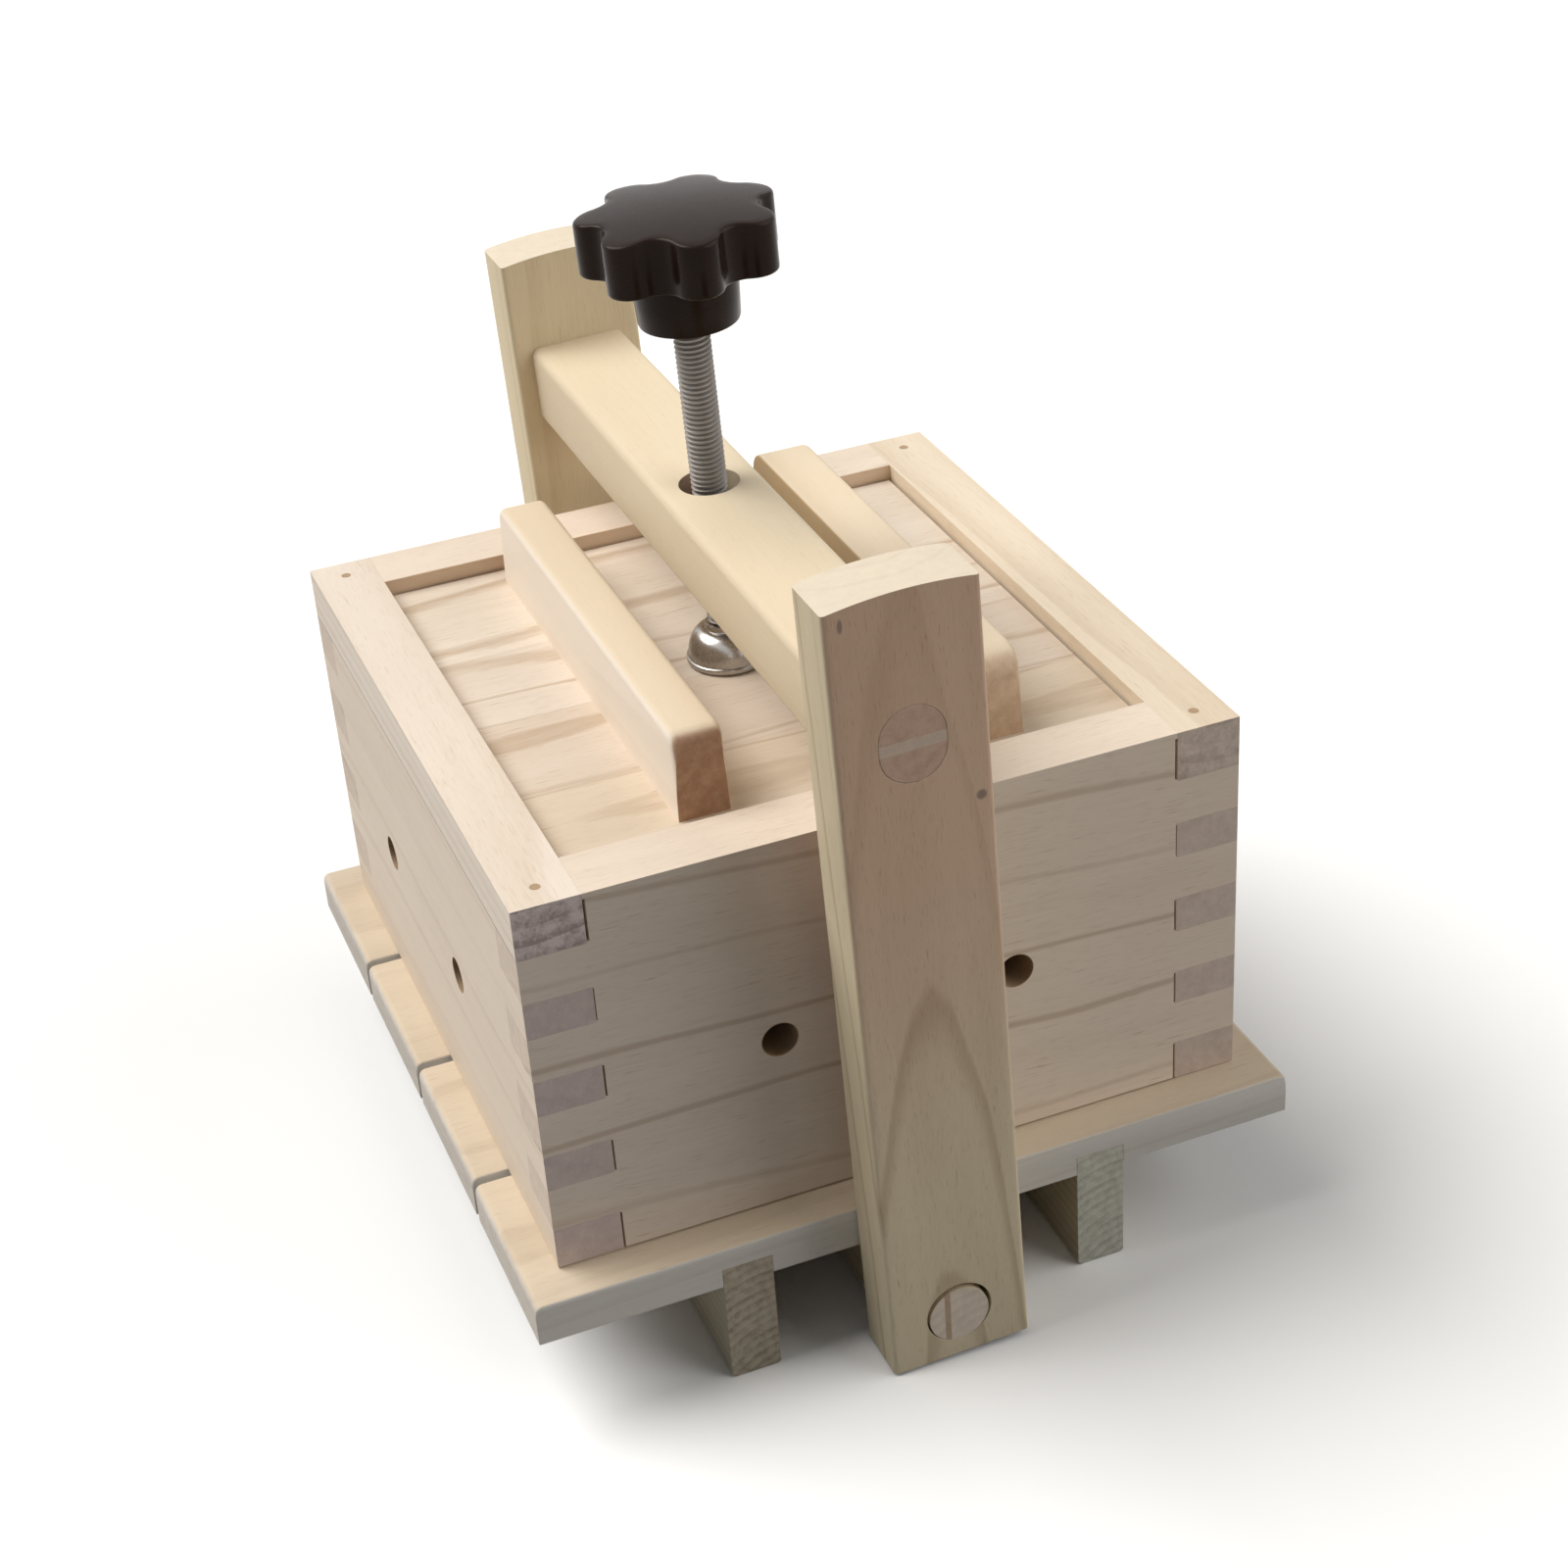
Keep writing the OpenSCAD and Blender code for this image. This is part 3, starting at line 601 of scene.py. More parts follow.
def black_plastic():
    material, tree, shader = new_material("glossy black plastic")
    where = add_node(tree, "ShaderNodeTexCoord")
    wear = add_node(tree, "ShaderNodeGroup", node_tree=fine_wear)
    feed(tree, wear.inputs["Vector"], where.outputs["Object"])
    wear.inputs["Low"].default_value = 0.16
    wear.inputs["High"].default_value = 0.3
    feed(tree, shader.inputs["Base Color"],
         blend_colours(tree, wear.outputs["Mask"], (0.013, 0.006, 0.004, 1), (0.018, 0.010, 0.007, 1)))
    feed(tree, shader.inputs["Roughness"], wear.outputs["Roughness"])
    shader.inputs["Specular IOR Level"].default_value = 0.11
    shader.inputs["Specular Tint"].default_value = (1, 0.88, 0.78, 1)
    bump(tree, shader, wear.outputs["Height"], 0.08, 0.00006)
    return material


def dress(piece, material):
    piece.data.materials.clear()
    piece.data.materials.append(material)


def finish_piece(piece, body, material, stands_for):
    dress(piece, material)
    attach(piece, body)
    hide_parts(stands_for)


# Base: four slats on two feet

slat_piths = [(0, -104, 92), (0, -34, 110), (0, 35, 96), (0, 104, 120)]
slat_names = ["front_slat", "second_slat", "third_slat", "back_slat"]
for number, (slat_name, pith) in enumerate(zip(slat_names, slat_piths), 1):
    low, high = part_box(f"base_slat_{number}")
    slat = add_block(slat_name, low, high)
    round_over(slat, SLAT_END_ROUND, lambda e: runs_along(e, 1) and halfway(e).z > high.z - NEAR)
    round_over(slat, SLAT_ROUND, lambda e: (
        halfway(e).z > high.z - SLAT_END_ROUND - NEAR and not runs_along(e, 2)
        and min(abs(halfway(e).y - low.y), abs(halfway(e).y - high.y)) < NEAR
        and abs(e.verts[0].co.y - e.verts[1].co.y) < LEVEL), 2)
    combine(slat, [
        add_block("groove", (side * FOOT_X - FOOT_HALF, low.y - WALL, low.z - WALL),
                  (side * FOOT_X + FOOT_HALF, high.y + WALL, GROOVE_TOP))
        for side in (-1, 1)])
    soften(slat, 0.3 * MM)
    finish_piece(slat, "base", wood(
        f"slat wood {number}", pith, ALONG_X, (0, 1.5 * (-1) ** number, 2 - number),
        pale=(0.65, 0.54, 0.405), dark=(0.47, 0.365, 0.255), end=(0.70, 0.67, 0.62), ring_width=9,
        late_start=0.7, rings=0.3, streaks=0.3, specks=0.4, edge_share=0.85), f"base_slat_{number}")

for side, foot_name, node_name in ((-1, "left_foot_bar", "foot_left"), (1, "right_foot_bar", "foot_right")):
    low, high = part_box(node_name)
    foot = add_block(foot_name, low, high)
    round_over(foot, FOOT_ROUND, lambda e: runs_along(e, 1) and halfway(e).z < low.z + NEAR)
    combine(foot, [
        add_peg("screw hole", FOOT_HOLE_R, (side * FOOT_X, y, -WALL), (side * FOOT_X, y, FOOT_HOLE_DEEP))
        for y in FOOT_HOLE_Y])
    soften(foot, 0.5 * MM)
    finish_piece(foot, "base", wood(
        f"{foot_name} wood", (side * 62.5 + 14, 0, -24), ALONG_Y, (0, 0.6, 0.4),
        pale=(0.56, 0.50, 0.37), dark=(0.38, 0.33, 0.23), ring_width=3.5, rings=0.4,
        end=(0.47, 0.41, 0.32) if side < 0 else (0.68, 0.70, 0.62), specks=1.1), node_name)

# Hinge bar with a round tenon at each end, split by a wedge

def wedge_slot(side, flat):
    """The slot of a tenon's wedge: upright in the bar, lying flat in the beam."""
    half = BEAM_WEDGE_HALF if flat else BAR_WEDGE_HALF
    slot = add_block("wedge slot", (-WEDGE_REACH, YOKE_OUT - WEDGE_DEEP, -half), (WEDGE_REACH, YOKE_OUT + half, half))
    open_edit(slot, "VERT")
    pick(slot, "VERT", lambda v: v.co.y < YOKE_OUT - WEDGE_DEEP / 2)
    bpy.ops.transform.resize(value=(1, 1, WEDGE_TIP / half), center_override=(0, 0, 0))
    close_edit()
    only(slot)
    if flat:
        slot.location = (0, 0, OVAL_Z)
        slot.rotation_euler = (0, 0, 0 if side > 0 else math.pi)
    else:
        slot.location = (BAR_WEDGE_X, 0, TENON_Z)
        slot.rotation_euler = (0, math.pi / 2, 0) if side > 0 else (0, math.pi / 2, math.pi)
    bpy.ops.object.transform_apply(location=True, rotation=True, scale=True)
    return slot


hinge_bar = add_block("hinge_bar", (-BAR_HALF, -BASE_Y, BAR_LOW), (BAR_HALF, BASE_Y, BAR_TOP))
round_over(hinge_bar, 2 * MM, lambda e: runs_along(e, 1))
combine(hinge_bar, [add_peg("tenons", TENON_R, (0, -YOKE_OUT, TENON_Z), (0, YOKE_OUT, TENON_Z))], "UNION")
combine(hinge_bar, [wedge_slot(-1, False), wedge_slot(1, False)])
soften(hinge_bar, 0.3 * MM)
finish_piece(hinge_bar, "base", wood(
    "hinge bar wood", (9, 0, -12), ALONG_Y, (0, 0.5, 0.5), pale=(0.76, 0.64, 0.46), dark=(0.54, 0.42, 0.28),
    end=(0.84, 0.74, 0.64), ring_width=4, specks=0.4), "bottom_bar")

# Yoke: two posts and a beam

def shape_post(name, side):
    low_y, high_y = sorted((side * YOKE_IN, side * YOKE_OUT))
    post = add_block(name, (-POST_HALF, low_y, POST_LOW), (POST_HALF, high_y, POST_TOP))
    radius = (POST_HALF ** 2 + CROWN ** 2) / (2 * CROWN)
    places = [POST_HALF * (i / 7) for i in range(-6, 7)]
    slice_at(post, 0, places)
    open_edit(post, "VERT")
    for place in places:
        take_none()
        pick(post, "VERT", lambda v: abs(v.co.x - place) < NEAR and v.co.z > POST_TOP - NEAR)
        rise = math.sqrt(radius ** 2 - place ** 2) - (radius - CROWN)
        bpy.ops.transform.translate(value=(0, 0, rise))
    close_edit()
    round_over(post, 1.5 * MM, lambda e: runs_along(e, 2) and abs(abs(halfway(e).x) - POST_HALF) < NEAR)
    return post


def oval_peg(name, radius, y_low, y_high):
    """A round peg whose top and bottom halves are moved apart."""
    peg = add_peg(name, radius, (0, y_low, 0), (0, y_high, 0))
    open_edit(peg, "VERT")
    for way in (-1, 1):
        take_none()
        pick(peg, "VERT", lambda v: v.co.z * way > LEVEL)
        bpy.ops.transform.translate(value=(0, 0, way * OVAL_HALF))
    close_edit()
    only(peg)
    peg.location = (0, 0, OVAL_Z)
    bpy.ops.object.transform_apply(location=True, rotation=True, scale=True)
    return peg


post_wood = {
    -1: wood("front post wood", (-6, -128, 110), UPRIGHT, (0, 0, 4.2), pale=(0.69, 0.595, 0.42),
             dark=(0.44, 0.345, 0.215), end=(0.90, 0.80, 0.66), ring_width=9, late_start=0.72, rings=0.5,
             streaks=0.45, wander=14, specks=0.2, drift=(0.96, 0.77, 0.77), drift_span=(-70, 110)),
    1: wood("back post wood", (10, 190, 100), UPRIGHT, (0, 0.8, 1), pale=(0.82, 0.70, 0.48),
            dark=(0.64, 0.49, 0.30), end=(0.90, 0.80, 0.66), ring_width=9, late_start=0.6, rings=0.25,
            streaks=0.35, specks=0.2),
}
# A round knot below the tenon, and a short upright crack near the top left corner
add_spot(post_wood[-1], Vector((13.9, -160.3, 210.9)) * MM, 1.7 * MM)
add_spot(post_wood[-1], Vector((-26.8, -160.3, 276)) * MM, 0.8 * MM, (1, 1, 0.35))
for side, post_name, node_name in ((-1, "front_post", "front_upright"), (1, "back_post", "back_upright")):
    post = shape_post(post_name, side)
    combine(post, [
        oval_peg("mortise", OVAL_R + JOINT_LINE, -YOKE_OUT - WALL, YOKE_OUT + WALL),
        add_peg("hinge hole", HINGE_HOLE_R, (0, -YOKE_OUT - WALL, 0), (0, YOKE_OUT + WALL, 0), 96)])
    soften(post, 0.35 * MM)
    set_on_yoke(post)
    finish_piece(post, "yoke", post_wood[side], node_name)

beam = add_block("yoke_beam", (-BEAM_HALF, -YOKE_IN, BEAM_LOW), (BEAM_HALF, YOKE_IN, BEAM_TOP))
round_over(beam, 3 * MM, lambda e: runs_along(e, 1))
combine(beam, [oval_peg("tenons", OVAL_R, -YOKE_OUT, YOKE_OUT)], "UNION")
combine(beam, [wedge_slot(-1, True), wedge_slot(1, True)])
combine(beam, [
    add_peg("nut seat", NUT_SEAT_R, (0, 0, BEAM_LOW - WALL), (0, 0, BEAM_LOW + NUT_SEAT_DEEP)),
    add_peg("nut bore", NUT_BORE_R, (0, 0, BEAM_LOW), (0, 0, BEAM_LOW + NUT_BORE_DEEP)),
    add_peg("screw bore", SCREW_BORE_R, (0, 0, BEAM_LOW + NUT_BORE_DEEP - 0.5 * MM), (0, 0, BEAM_TOP + WALL))])
soften(beam, 0.5 * MM)
set_on_yoke(beam)
finish_piece(beam, "yoke", wood(
    "beam wood", (18, 0, 190), ALONG_Y, (0, 0.7, 0.5), pale=(0.78, 0.66, 0.475), dark=(0.64, 0.49, 0.31),
    end=(0.63, 0.40, 0.30), ring_width=14, late_start=0.6, rings=0.1, streaks=0.2, fibres=0.2, specks=0.5),
    "top_beam")

# Screw with its rolled thread and its ball

# Radius and height, in millimetres, of one turn of the thread, from valley to valley
core_r, crest_r = 4.93, 6.0
thread = [(core_r, 0), (core_r, 0.4375), (crest_r, 0.984), (crest_r, 1.203), (core_r, PITCH / MM)]
bpy.ops.object.select_all(action="DESELECT")
bpy.ops.mesh.primitive_plane_add(size=1, location=(0, 0, 0))
rod = name_new("threaded_rod")
open_edit(rod, "VERT")
take_all()
bpy.ops.mesh.merge(type="CENTER")
shape = bmesh.from_edit_mesh(rod.data)
for point in shape.verts:
    point.co = Vector((thread[0][0] * MM, 0, thread[0][1] * MM))
    point.select_set(True)
bmesh.update_edit_mesh(rod.data)
for radius, height in thread[1:]:
    place_ring(rod, lambda spot: Vector((radius * MM, 0, height * MM)))
close_edit()
only(rod)
bpy.ops.object.modifier_add(type="SCREW")
step = rod.modifiers[-1]
step.axis = "Z"
step.angle = 2 * math.pi
step.screw_offset = PITCH
step.iterations = THREAD_TURNS
step.steps = THREAD_STEPS
step.render_steps = THREAD_STEPS
step.use_smooth_shade = False
bpy.ops.object.modifier_apply(modifier=step.name)
open_edit(rod, "VERT")
take_all()
bpy.ops.mesh.remove_doubles(threshold=2 * LEVEL)
# The thread starts two turns low, and both ends are then cut off flat
take_all()
bpy.ops.transform.translate(value=(0, 0, ROD_LOW - 2 * PITCH))
take_all()
bpy.ops.mesh.bisect(plane_co=(0, 0, ROD_LOW), plane_no=(0, 0, 1), use_fill=True, clear_inner=True)
take_all()
bpy.ops.mesh.bisect(plane_co=(0, 0, ROD_TOP), plane_no=(0, 0, 1), use_fill=True, clear_outer=True)
face_outwards()
close_edit()
ball_end = turn_rings("ball_end", [
    (r * MM, BALL_Z + z * MM) for r, z in (
        (1.0, -5.41), (2.6, -4.85), (3.9, -3.88), (4.9, -2.5), (5.4, -1.0), (5.5, 0), (5.3, 1.45),
        (4.7, 2.85), (4.0, 3.77), (4.0, 7.4))], 40)
rod = join_all([rod, ball_end])
only(rod)
bpy.ops.object.shade_smooth_by_angle(angle=math.radians(28))
set_on_yoke(rod)
finish_piece(rod, "screw", metal(
    "rolled steel thread", (0.29, 0.266, 0.242), 0.48, 0.62, (1, 1, 6)), "screw_rod")

# Knob with seven lobes

# In millimetres: where the round ends of the lobes have their centres, how round they are, and how
# near to the axis the valleys come; a valley is an arc that meets the two lobes beside it smoothly
lobe_count, lobe_at, lobe_round, valley_low = 7, 25.0, 7.5, 25.5
grip_high, grip_crown, grip_reach = 17.4, 2.5, 31.5
half_step = math.pi / lobe_count
gain = lobe_at ** 2 + valley_low ** 2 - 2 * lobe_at * valley_low * math.cos(half_step) - lobe_round ** 2
valley_round = gain / (2 * (lobe_round - valley_low + lobe_at * math.cos(half_step)))
valley_at = valley_low + valley_round
valley_way = Vector((valley_at * math.cos(half_step) - lobe_at, valley_at * math.sin(half_step)))
meeting = Vector((lobe_at, 0)) + lobe_round * valley_way.normalized()
meeting_angle = math.atan2(meeting.y, meeting.x)
knob_turn = math.radians(5.5)


def knob_radius(angle):
    """Distance from the axis to the lobed outline, in millimetres."""
    off = abs((angle - knob_turn + half_step) % (2 * half_step) - half_step)
    if off <= meeting_angle:
        return lobe_at * math.cos(off) + math.sqrt(lobe_round ** 2 - (lobe_at * math.sin(off)) ** 2)
    off = half_step - off
    return valley_at * math.cos(off) - math.sqrt(valley_round ** 2 - (valley_at * math.sin(off)) ** 2)


def dome_height(radius):
    """Height of the crowned top above the grip's underside, in millimetres."""
    return grip_high + grip_crown * (1 - min(1.0, radius / grip_reach) ** 2)


bpy.ops.object.select_all(action="DESELECT")
bpy.ops.mesh.primitive_circle_add(vertices=lobe_count * 32, radius=lobe_at * MM, fill_type="NGON")
knob = name_new("seven_lobed_knob")
open_edit(knob, "VERT")
take_all()


def knob_ring(inset, height, from_top, scale=1.0):
    """Where a ring's points go: inside the outline by an inset, above the underside or below the top."""
    def place(spot):
        angle = math.atan2(spot.y, spot.x)
        radius = (knob_radius(angle) - inset) * scale
        level = dome_height(radius) - height if from_top else height
        return Vector((radius * math.cos(angle) * MM, radius * math.sin(angle) * MM, GRIP_Z + level * MM))
    return place


shape = bmesh.from_edit_mesh(knob.data)
first_ring = knob_ring(1.2, 0, False)
for point in shape.verts:
    point.co = first_ring(point.co)
bmesh.update_edit_mesh(knob.data)
for inset, height in ((0.45, 0.2), (0.1, 0.6), (0, 1.2)):
    place_ring(knob, knob_ring(inset, height, False))
for inset, drop in ((0, 8.0), (0, 1.5), (0.08, 0.95), (0.32, 0.45), (0.75, 0.12), (1.3, 0.01)):
    place_ring(knob, knob_ring(inset, drop, True))
for scale in (0.9, 0.76, 0.6, 0.42, 0.24, 0.08):
    place_ring(knob, knob_ring(1.3, 0, True, scale))
face_outwards()
close_edit()
hub = turn_rings("hub", [
    (r * MM, HUB_Z + z * MM) for r, z in (
        (9.0, 0), (15.4, 0), (16.1, 0.35), (16.4, 1.1), (16.8, 9), (17.25, 18.0), (17.25, 19.5),
        (9.0, 19.5))], 96, closed=True)
combine(knob, [hub], "UNION")
only(knob)
bpy.ops.object.shade_smooth_by_angle(angle=math.radians(40))
set_on_yoke(knob)
finish_piece(knob, "screw", black_plastic(), "star_knob")

# Polished foot that the screw's ball turns in

# Radius and height in millimetres: the rim, the dome, the neck, and back down through the socket
rim = [(5.65, 0), (13.7, 0), (14.25, 0.15), (14.5, 0.6), (14.5, 1.5), (14.35, 1.85), (14.0, 2.0), (13.75, 2.05)]
dome = [(7 + 6.6 * math.cos(a), 2.6 + 9.4 * math.sin(a)) for a in (math.radians(8 * i) for i in range(12))]
neck = [(7.0, 12.3), (7.0, 13.4), (6.85, 13.8), (6.4, 14.0)]
socket = [(4.6, 14.0), (4.6, 11.1), (5.2, 9.94), (5.55, 8.0), (5.65, 7.9)]
bell = turn_rings("bell_foot", [
    (r * MM, PAD_Z + z * MM) for r, z in rim + dome + neck + socket], 72, closed=True)
only(bell)
bpy.ops.object.shade_smooth_by_angle(angle=math.radians(38))
set_on_yoke(bell)
finish_piece(bell, "foot", metal(
    "polished steel", (0.47, 0.45, 0.425), 0.22, 0.32, (1, 1, 1), 0.04), "pressure_foot")

# Box: walls locked by fingers

def finger_low(i):
    """Underside of one of the front and back walls' four fingers."""
    return FLOOR_Z + LOW_FINGER + i * (CROSS_FINGER + SIDE_FINGER)


def finger_spans(is_cross):
    """Heights between which a wall gives way to the other wall's fingers."""
    if not is_cross:
        return [(finger_low(i), finger_low(i) + CROSS_FINGER) for i in range(4)]
    return [(FLOOR_Z - WALL, FLOOR_Z + LOW_FINGER),
            *((finger_low(i) + CROSS_FINGER, finger_low(i + 1)) for i in range(3)), (STRIP_Z, RIM_Z + WALL)]


def finger_notches(end_axis, first, last, is_cross):
    """Blocks that stand where the other wall's fingers go."""
    blocks = []
    for low_z, high_z in finger_spans(is_cross):
        for way in (-1, 1):
            near, far = sorted((way * (end_axis - WALL), way * (end_axis + WALL)))
            if is_cross:
                blocks.append(add_block("notch", (near, first, low_z), (far, last, high_z)))
            else:
                blocks.append(add_block("notch", (first, near, low_z), (last, far, high_z)))
    return join_all(blocks)


def end_slits(face_y):
    """Thin gaps left past the ends of the fingers, open to the face of the wall."""
    blocks = []
    for (low_z, high_z), share in zip(finger_spans(True), (1.0, 0.9, 1.0, 0.5, 1.3)):
        low = max(low_z, FLOOR_Z - 1 * MM) + SLIT_SHORT
        high = min(high_z, RIM_Z - 1.5 * MM) - SLIT_SHORT
        for way in (-1, 1):
            near, far = sorted((way * (BOX_X - WALL - SLIT * share), way * (BOX_X - WALL + 1 * MM)))
            blocks.append(add_block("slit", (near, face_y - SLIT_DEEP, low), (far, face_y + SLIT_DEEP, high)))
    return join_all(blocks)


box_pale, box_dark = (0.82, 0.70, 0.575), (0.60, 0.475, 0.365)
for side, wall_name, node_name, pith in (
        (-1, "front_panel", "front_wall", (0, -150, 20)), (1, "back_panel", "back_wall", (30, 160, 40))):
    low_y, high_y = sorted((side * (BOX_Y - WALL), side * BOX_Y))
    panel = add_block(wall_name, (-BOX_X, low_y, FLOOR_Z + UNDER_GAP), (BOX_X, high_y, RIM_Z))
    combine(panel, [finger_notches(BOX_X, low_y - WALL, high_y + WALL, True), end_slits(side * BOX_Y)])
    combine(panel, [
        add_peg("drain", DRAIN_R, (x, low_y - WALL, END_DRAIN_Z), (x, high_y + WALL, END_DRAIN_Z))
        for x in (-END_DRAIN_X, END_DRAIN_X)])
    soften(panel, 0.12 * MM)
    # The drift darkens and cools the front wall's faces towards its left end: painted shade
    look = wood(
        f"{wall_name} wood", pith, ALONG_X, (0, 2.2, 0.8), box_pale, box_dark, end=(0.79, 0.67, 0.56),
        ring_width=27.7, late_start=0.87, rings=0.85, streaks=0.35, fibres=0.4, wander=24, specks=0.35,
        drift=(0.87, 0.88, 0.91) if side < 0 else (1, 1, 1), drift_span=(15, -35))
    # Painted shade darkens the bores of the drain holes
    for x in (-END_DRAIN_X, END_DRAIN_X):
        add_spot(look, (x, 0, END_DRAIN_Z), DRAIN_R, (1, 0, 1), SHARP_FADE, BORE_SHADE)
    # Painted shade with warm painted bounce light on the back wall's inner face
    if side > 0:
        add_spot(look, (0, low_y, 0), 0.5 * MM, (0, 1, 0), tone=INNER_SHADE_AND_BOUNCE, strength=0.6)
    finish_piece(panel, "box", look, node_name)

for side, wall_name, node_name in ((-1, "left_panel", "left_wall"), (1, "right_panel", "right_wall")):
    low_x, high_x = sorted((side * (BOX_X - WALL), side * BOX_X))
    panel = add_block(wall_name, (low_x, -BOX_Y, FLOOR_Z), (high_x, BOX_Y, STRIP_Z))
    round_over(panel, WALL_ROUND, lambda e: halfway(e).z < FLOOR_Z + NEAR, 2)
    combine(panel, [finger_notches(BOX_Y, low_x - WALL, high_x + WALL, False)])
    combine(panel, [
        add_peg("drain", DRAIN_R, (low_x - WALL, y, SIDE_DRAIN_Z), (high_x + WALL, y, SIDE_DRAIN_Z))
        for y in SIDE_DRAIN_Y])
    soften(panel, 0.12 * MM)
    finger_end = (0.60, 0.50, 0.50) if side < 0 else (0.72, 0.59, 0.52)
    look = wood(
        f"{wall_name} wood", (side * 150, 0, 60 + 20 * side), ALONG_Y, (0, 1.0, 0.8), box_pale, box_dark,
        finger_end, ring_width=22, late_start=0.75, rings=0.22, streaks=0.25, fibres=0.25, wander=16,
        specks=0.4)
    # Painted shade darkens the bores of the drain holes
    for y in SIDE_DRAIN_Y:
        add_spot(look, (0, y, SIDE_DRAIN_Z), DRAIN_R, (0, 1, 1), SHARP_FADE, BORE_SHADE)
    finish_piece(panel, "box", look, node_name)
    strip = add_block(f"{wall_name}_strip", (low_x, -BOX_Y, STRIP_Z), (high_x, BOX_Y, RIM_Z))
    pin_x = side * PIN_X
    combine(strip, [
        add_peg("pin hole", PIN_R + JOINT_LINE / 2, (pin_x, y, STRIP_Z - WALL), (pin_x, y, RIM_Z + WALL), 32)
        for y in (-PIN_Y, PIN_Y)])
    soften(strip, 0.12 * MM)
    rim_pale = (0.83, 0.735, 0.63) if side < 0 else (0.80, 0.69, 0.54)
    rim_dark = (0.66, 0.54, 0.42) if side < 0 else (0.62, 0.49, 0.35)
    finish_piece(strip, "box", wood(
        f"{wall_name} strip wood", (side * 112, 0, 240 - 30 * side), ALONG_Y, (0, 0.5, 0.4 * side),
        rim_pale, rim_dark, end=finger_end, ring_width=6, rings=0.35, fibres=0.4,
        specks=1.6 if side < 0 else 0.8), f"{node_name}_strip")

# Pressing plate: four glued boards and two battens

board_piths = [(0, -80, 140), (0, -20, 240), (0, 40, 130), (0, 70, 250)]
board_tones = [(0.70, 0.585, 0.45), (0.725, 0.615, 0.505), (0.77, 0.67, 0.565), (0.79, 0.69, 0.575)]
for number, (pith, tone) in enumerate(zip(board_piths, board_tones), 1):
    low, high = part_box(f"plate_board_{number}")
    board = add_block(f"plate_{number}_of_4", low, high)
    slice_at(board, 0, (0,))
    soften(board, 0.15 * MM)
    finish_piece(board, "plate", wood(
        f"plate wood {number}", pith, ALONG_X, (0, 0.8 * (-1) ** number, 0.5), pale=tone,
        dark=(0.50, 0.37, 0.25), end=(0.42, 0.31, 0.25), ring_width=6.2 + number, late_start=0.8, rings=0.5,
        streaks=0.3, fibres=0.35, wander=16),
        f"plate_board_{number}")

# The handles' side faces take a painted tone: painted light on the left handle, painted shade on the right handle
# where the beam shades it
for batten_name, node_name, low_x, high_x, end_round, end_tone, side_light_and_shade in (
        ("left_handle", "batten_left", -56.5 * MM, -39.5 * MM, 5 * MM, (0.50, 0.25, 0.14),
         (0.88, 0.79, 0.69)),
        ("right_handle", "batten_right", 40 * MM, 60 * MM, 9 * MM, (0.76, 0.54, 0.36),
         (0.50, 0.36, 0.19))):
    batten = add_block(batten_name, (low_x, -BATTEN_Y, PLATE_TOP), (high_x, BATTEN_Y, BATTEN_TOP))
    round_over(batten, end_round, lambda e: runs_along(e, 0) and halfway(e).z > BATTEN_TOP - NEAR, 8)
    for place, radius in ((low_x, BATTEN_ROUND if low_x < 0 else BATTEN_SHARP), (high_x, BATTEN_ROUND)):
        round_over(batten, radius, lambda e: (
            abs(halfway(e).x - place) < NEAR and abs(e.verts[0].co.x - e.verts[1].co.x) < LEVEL
            and halfway(e).z > BATTEN_TOP - end_round - NEAR and not runs_along(e, 2)))
    soften(batten, 0.5 * MM)
    finish_piece(batten, "plate", wood(
        f"{batten_name} wood", (low_x / MM + 30, 0, 170), ALONG_Y, (0, 0.6, -0.5), pale=(0.79, 0.66, 0.49),
        dark=(0.68, 0.53, 0.36), end=end_tone, ring_width=9, rings=0.16, streaks=0.2, fibres=0.15,
        specks=0.5, edge=side_light_and_shade, edge_share=0.85), node_name)

# CAD pieces that keep their shape

fastener = metal("plain steel", (0.55, 0.54, 0.52), 0.3, 0.45)
for node_name in ("base_screws", "nut_screws", "batten_screws", "foot_retainer", "knob_insert"):
    dress(nodes[node_name], fastener)
dress(nodes["beam_nut"], metal("zinc nut", (0.58, 0.57, 0.55), 0.28, 0.4))
wedge_look = dict(pale=(0.64, 0.49, 0.36), dark=(0.44, 0.31, 0.21), ring_width=9, rings=0.1, specks=0.35)
for node_name, pith in (("beam_wedge_front", (-4, -150, 238)), ("beam_wedge_back", (5, 150, 238))):
    dress(nodes[node_name], wood(f"{node_name} wood", pith, ALONG_Y, end=(0.76, 0.62, 0.50), **wedge_look))
for node_name, pith in (("bar_wedge_front", (-9, -150, 18)), ("bar_wedge_back", (-9, 150, 18))):
    dress(nodes[node_name], wood(f"{node_name} wood", pith, ALONG_Y, end=(0.50, 0.36, 0.24), **wedge_look))
dress(nodes["corner_pins"], wood(
    "pin wood", (3, 4, 100), (0, -90, 0), end=(0.45, 0.31, 0.17), **wedge_look))

# Floor, light and camera

def seen_directly(tree):
    """1 for what the camera sees, also through glass or in a reflection."""
    rays = add_node(tree, "ShaderNodeLightPath")
    seen = sums(tree, "MAXIMUM", rays.outputs["Is Camera Ray"], rays.outputs["Is Glossy Ray"])
    return sums(tree, "MAXIMUM", seen, rays.outputs["Is Transmission Ray"])


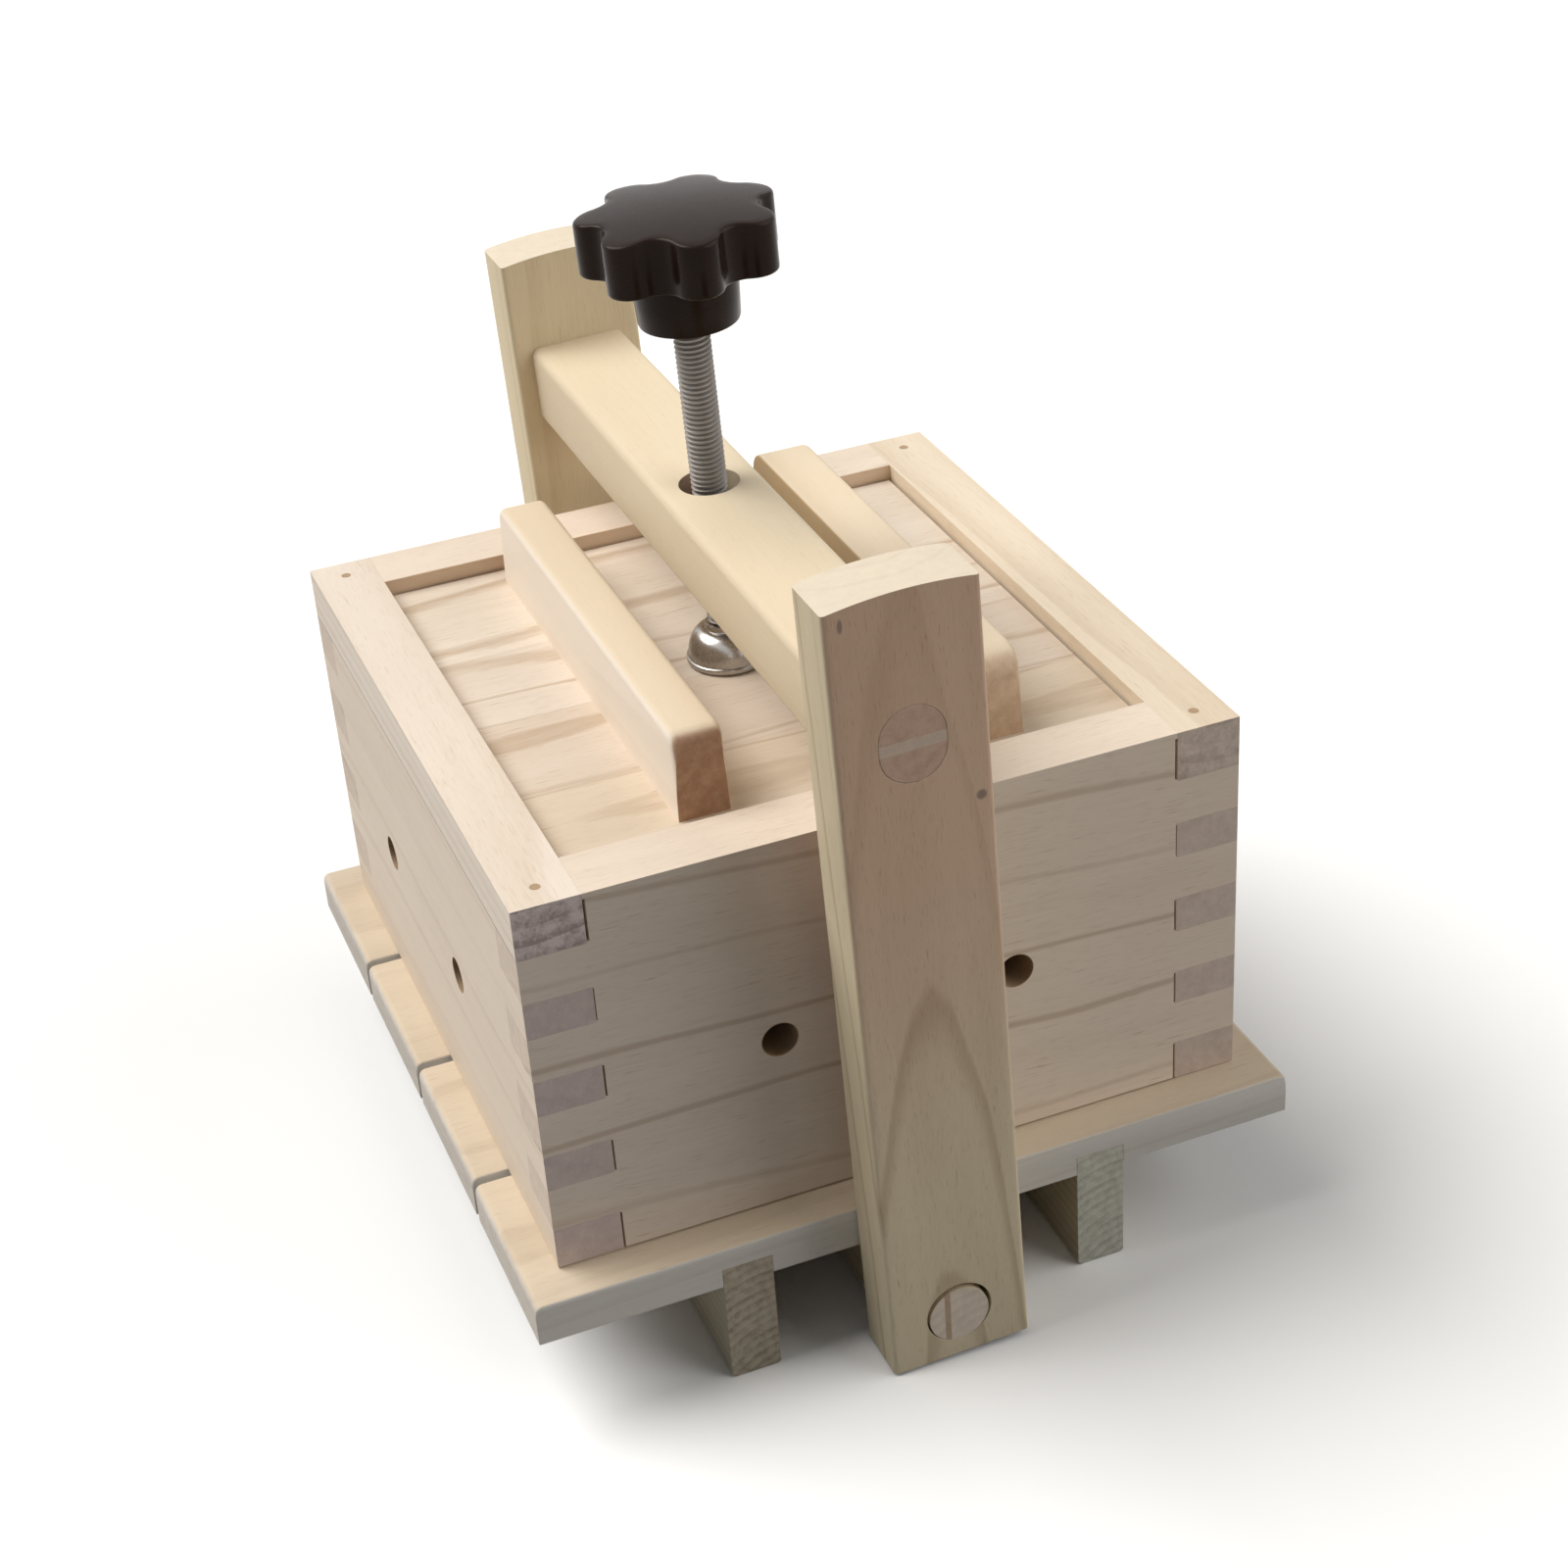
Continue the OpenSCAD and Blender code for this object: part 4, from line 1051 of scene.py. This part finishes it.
# The floor looks white, but throws little light back on the press
FLOOR_SEEN = (0.98, 0.98, 0.98, 1)
FLOOR_LIT = (0.16, 0.16, 0.16, 1)
bpy.ops.object.select_all(action="DESELECT")
bpy.ops.mesh.primitive_plane_add(size=40, location=(0, 0, -0.0002))
floor = name_new("studio_floor")
material, tree, shader = new_material("white studio floor")
feed(tree, shader.inputs["Base Color"], blend_colours(tree, seen_directly(tree), FLOOR_LIT, FLOOR_SEEN))
shader.inputs["Roughness"].default_value = 1
shader.inputs["Specular IOR Level"].default_value = 0
dress(floor, material)

world = bpy.data.worlds.new("white studio")
bpy.context.scene.world = world
world.use_nodes = True
tree = world.node_tree
tree.nodes.clear()
air = add_node(tree, "ShaderNodeBackground")
air.inputs["Color"].default_value = (0.97, 0.98, 1.0, 1)
air.inputs["Strength"].default_value = 0.155
backdrop = add_node(tree, "ShaderNodeBackground")
backdrop.inputs["Color"].default_value = (1, 1, 1, 1)
backdrop.inputs["Strength"].default_value = 1
choose = add_node(tree, "ShaderNodeMixShader")
out = add_node(tree, "ShaderNodeOutputWorld")
feed(tree, choose.inputs[0], seen_directly(tree))
feed(tree, choose.inputs[1], air.outputs[0])
feed(tree, choose.inputs[2], backdrop.outputs[0])
feed(tree, out.inputs["Surface"], choose.outputs[0])

for lamp_name, way, energy, spread, tint in (
        ("soft key light", (-0.5, 0.34, 0.80), 3.25, 48, (1, 0.985, 0.96)),
        ("soft fill light", (0.75, -0.42, 0.5), 1.4, 60, (1, 0.98, 0.95))):
    lamp_data = bpy.data.lights.new(lamp_name, "SUN")
    lamp_data.energy = energy
    lamp_data.angle = math.radians(spread)
    lamp_data.color = tint
    lamp = bpy.data.objects.new(lamp_name, lamp_data)
    bpy.context.scene.collection.objects.link(lamp)
    lamp.rotation_euler = Vector(way).to_track_quat("Z", "Y").to_euler()

# The camera's place and turn come from fitting the corners of box, base and yoke to the photograph
CAMERA_PLACE = (-0.26924, -0.79041, 0.63841)
AZIMUTH, ELEVATION, ROLL = (math.radians(a) for a in (-19.4987, 31.3283, -4.3328))
camera_data = bpy.data.cameras.new("photo camera")
camera_data.sensor_width = 36
camera_data.lens = 64.639
camera_data.clip_end = 100
camera = bpy.data.objects.new("photo camera", camera_data)
bpy.context.scene.collection.objects.link(camera)
back = Vector((math.sin(AZIMUTH) * math.cos(ELEVATION), -math.cos(AZIMUTH) * math.cos(ELEVATION),
               math.sin(ELEVATION)))
level_right = Vector((0, 0, 1)).cross(back).normalized()
level_up = back.cross(level_right)
right = math.cos(ROLL) * level_right + math.sin(ROLL) * level_up
up = math.cos(ROLL) * level_up - math.sin(ROLL) * level_right
camera.matrix_world = Matrix([(right[i], up[i], back[i], CAMERA_PLACE[i]) for i in range(3)] + [(0, 0, 0, 1)])
bpy.context.scene.camera = camera
bpy.context.scene.view_settings.view_transform = "Standard"
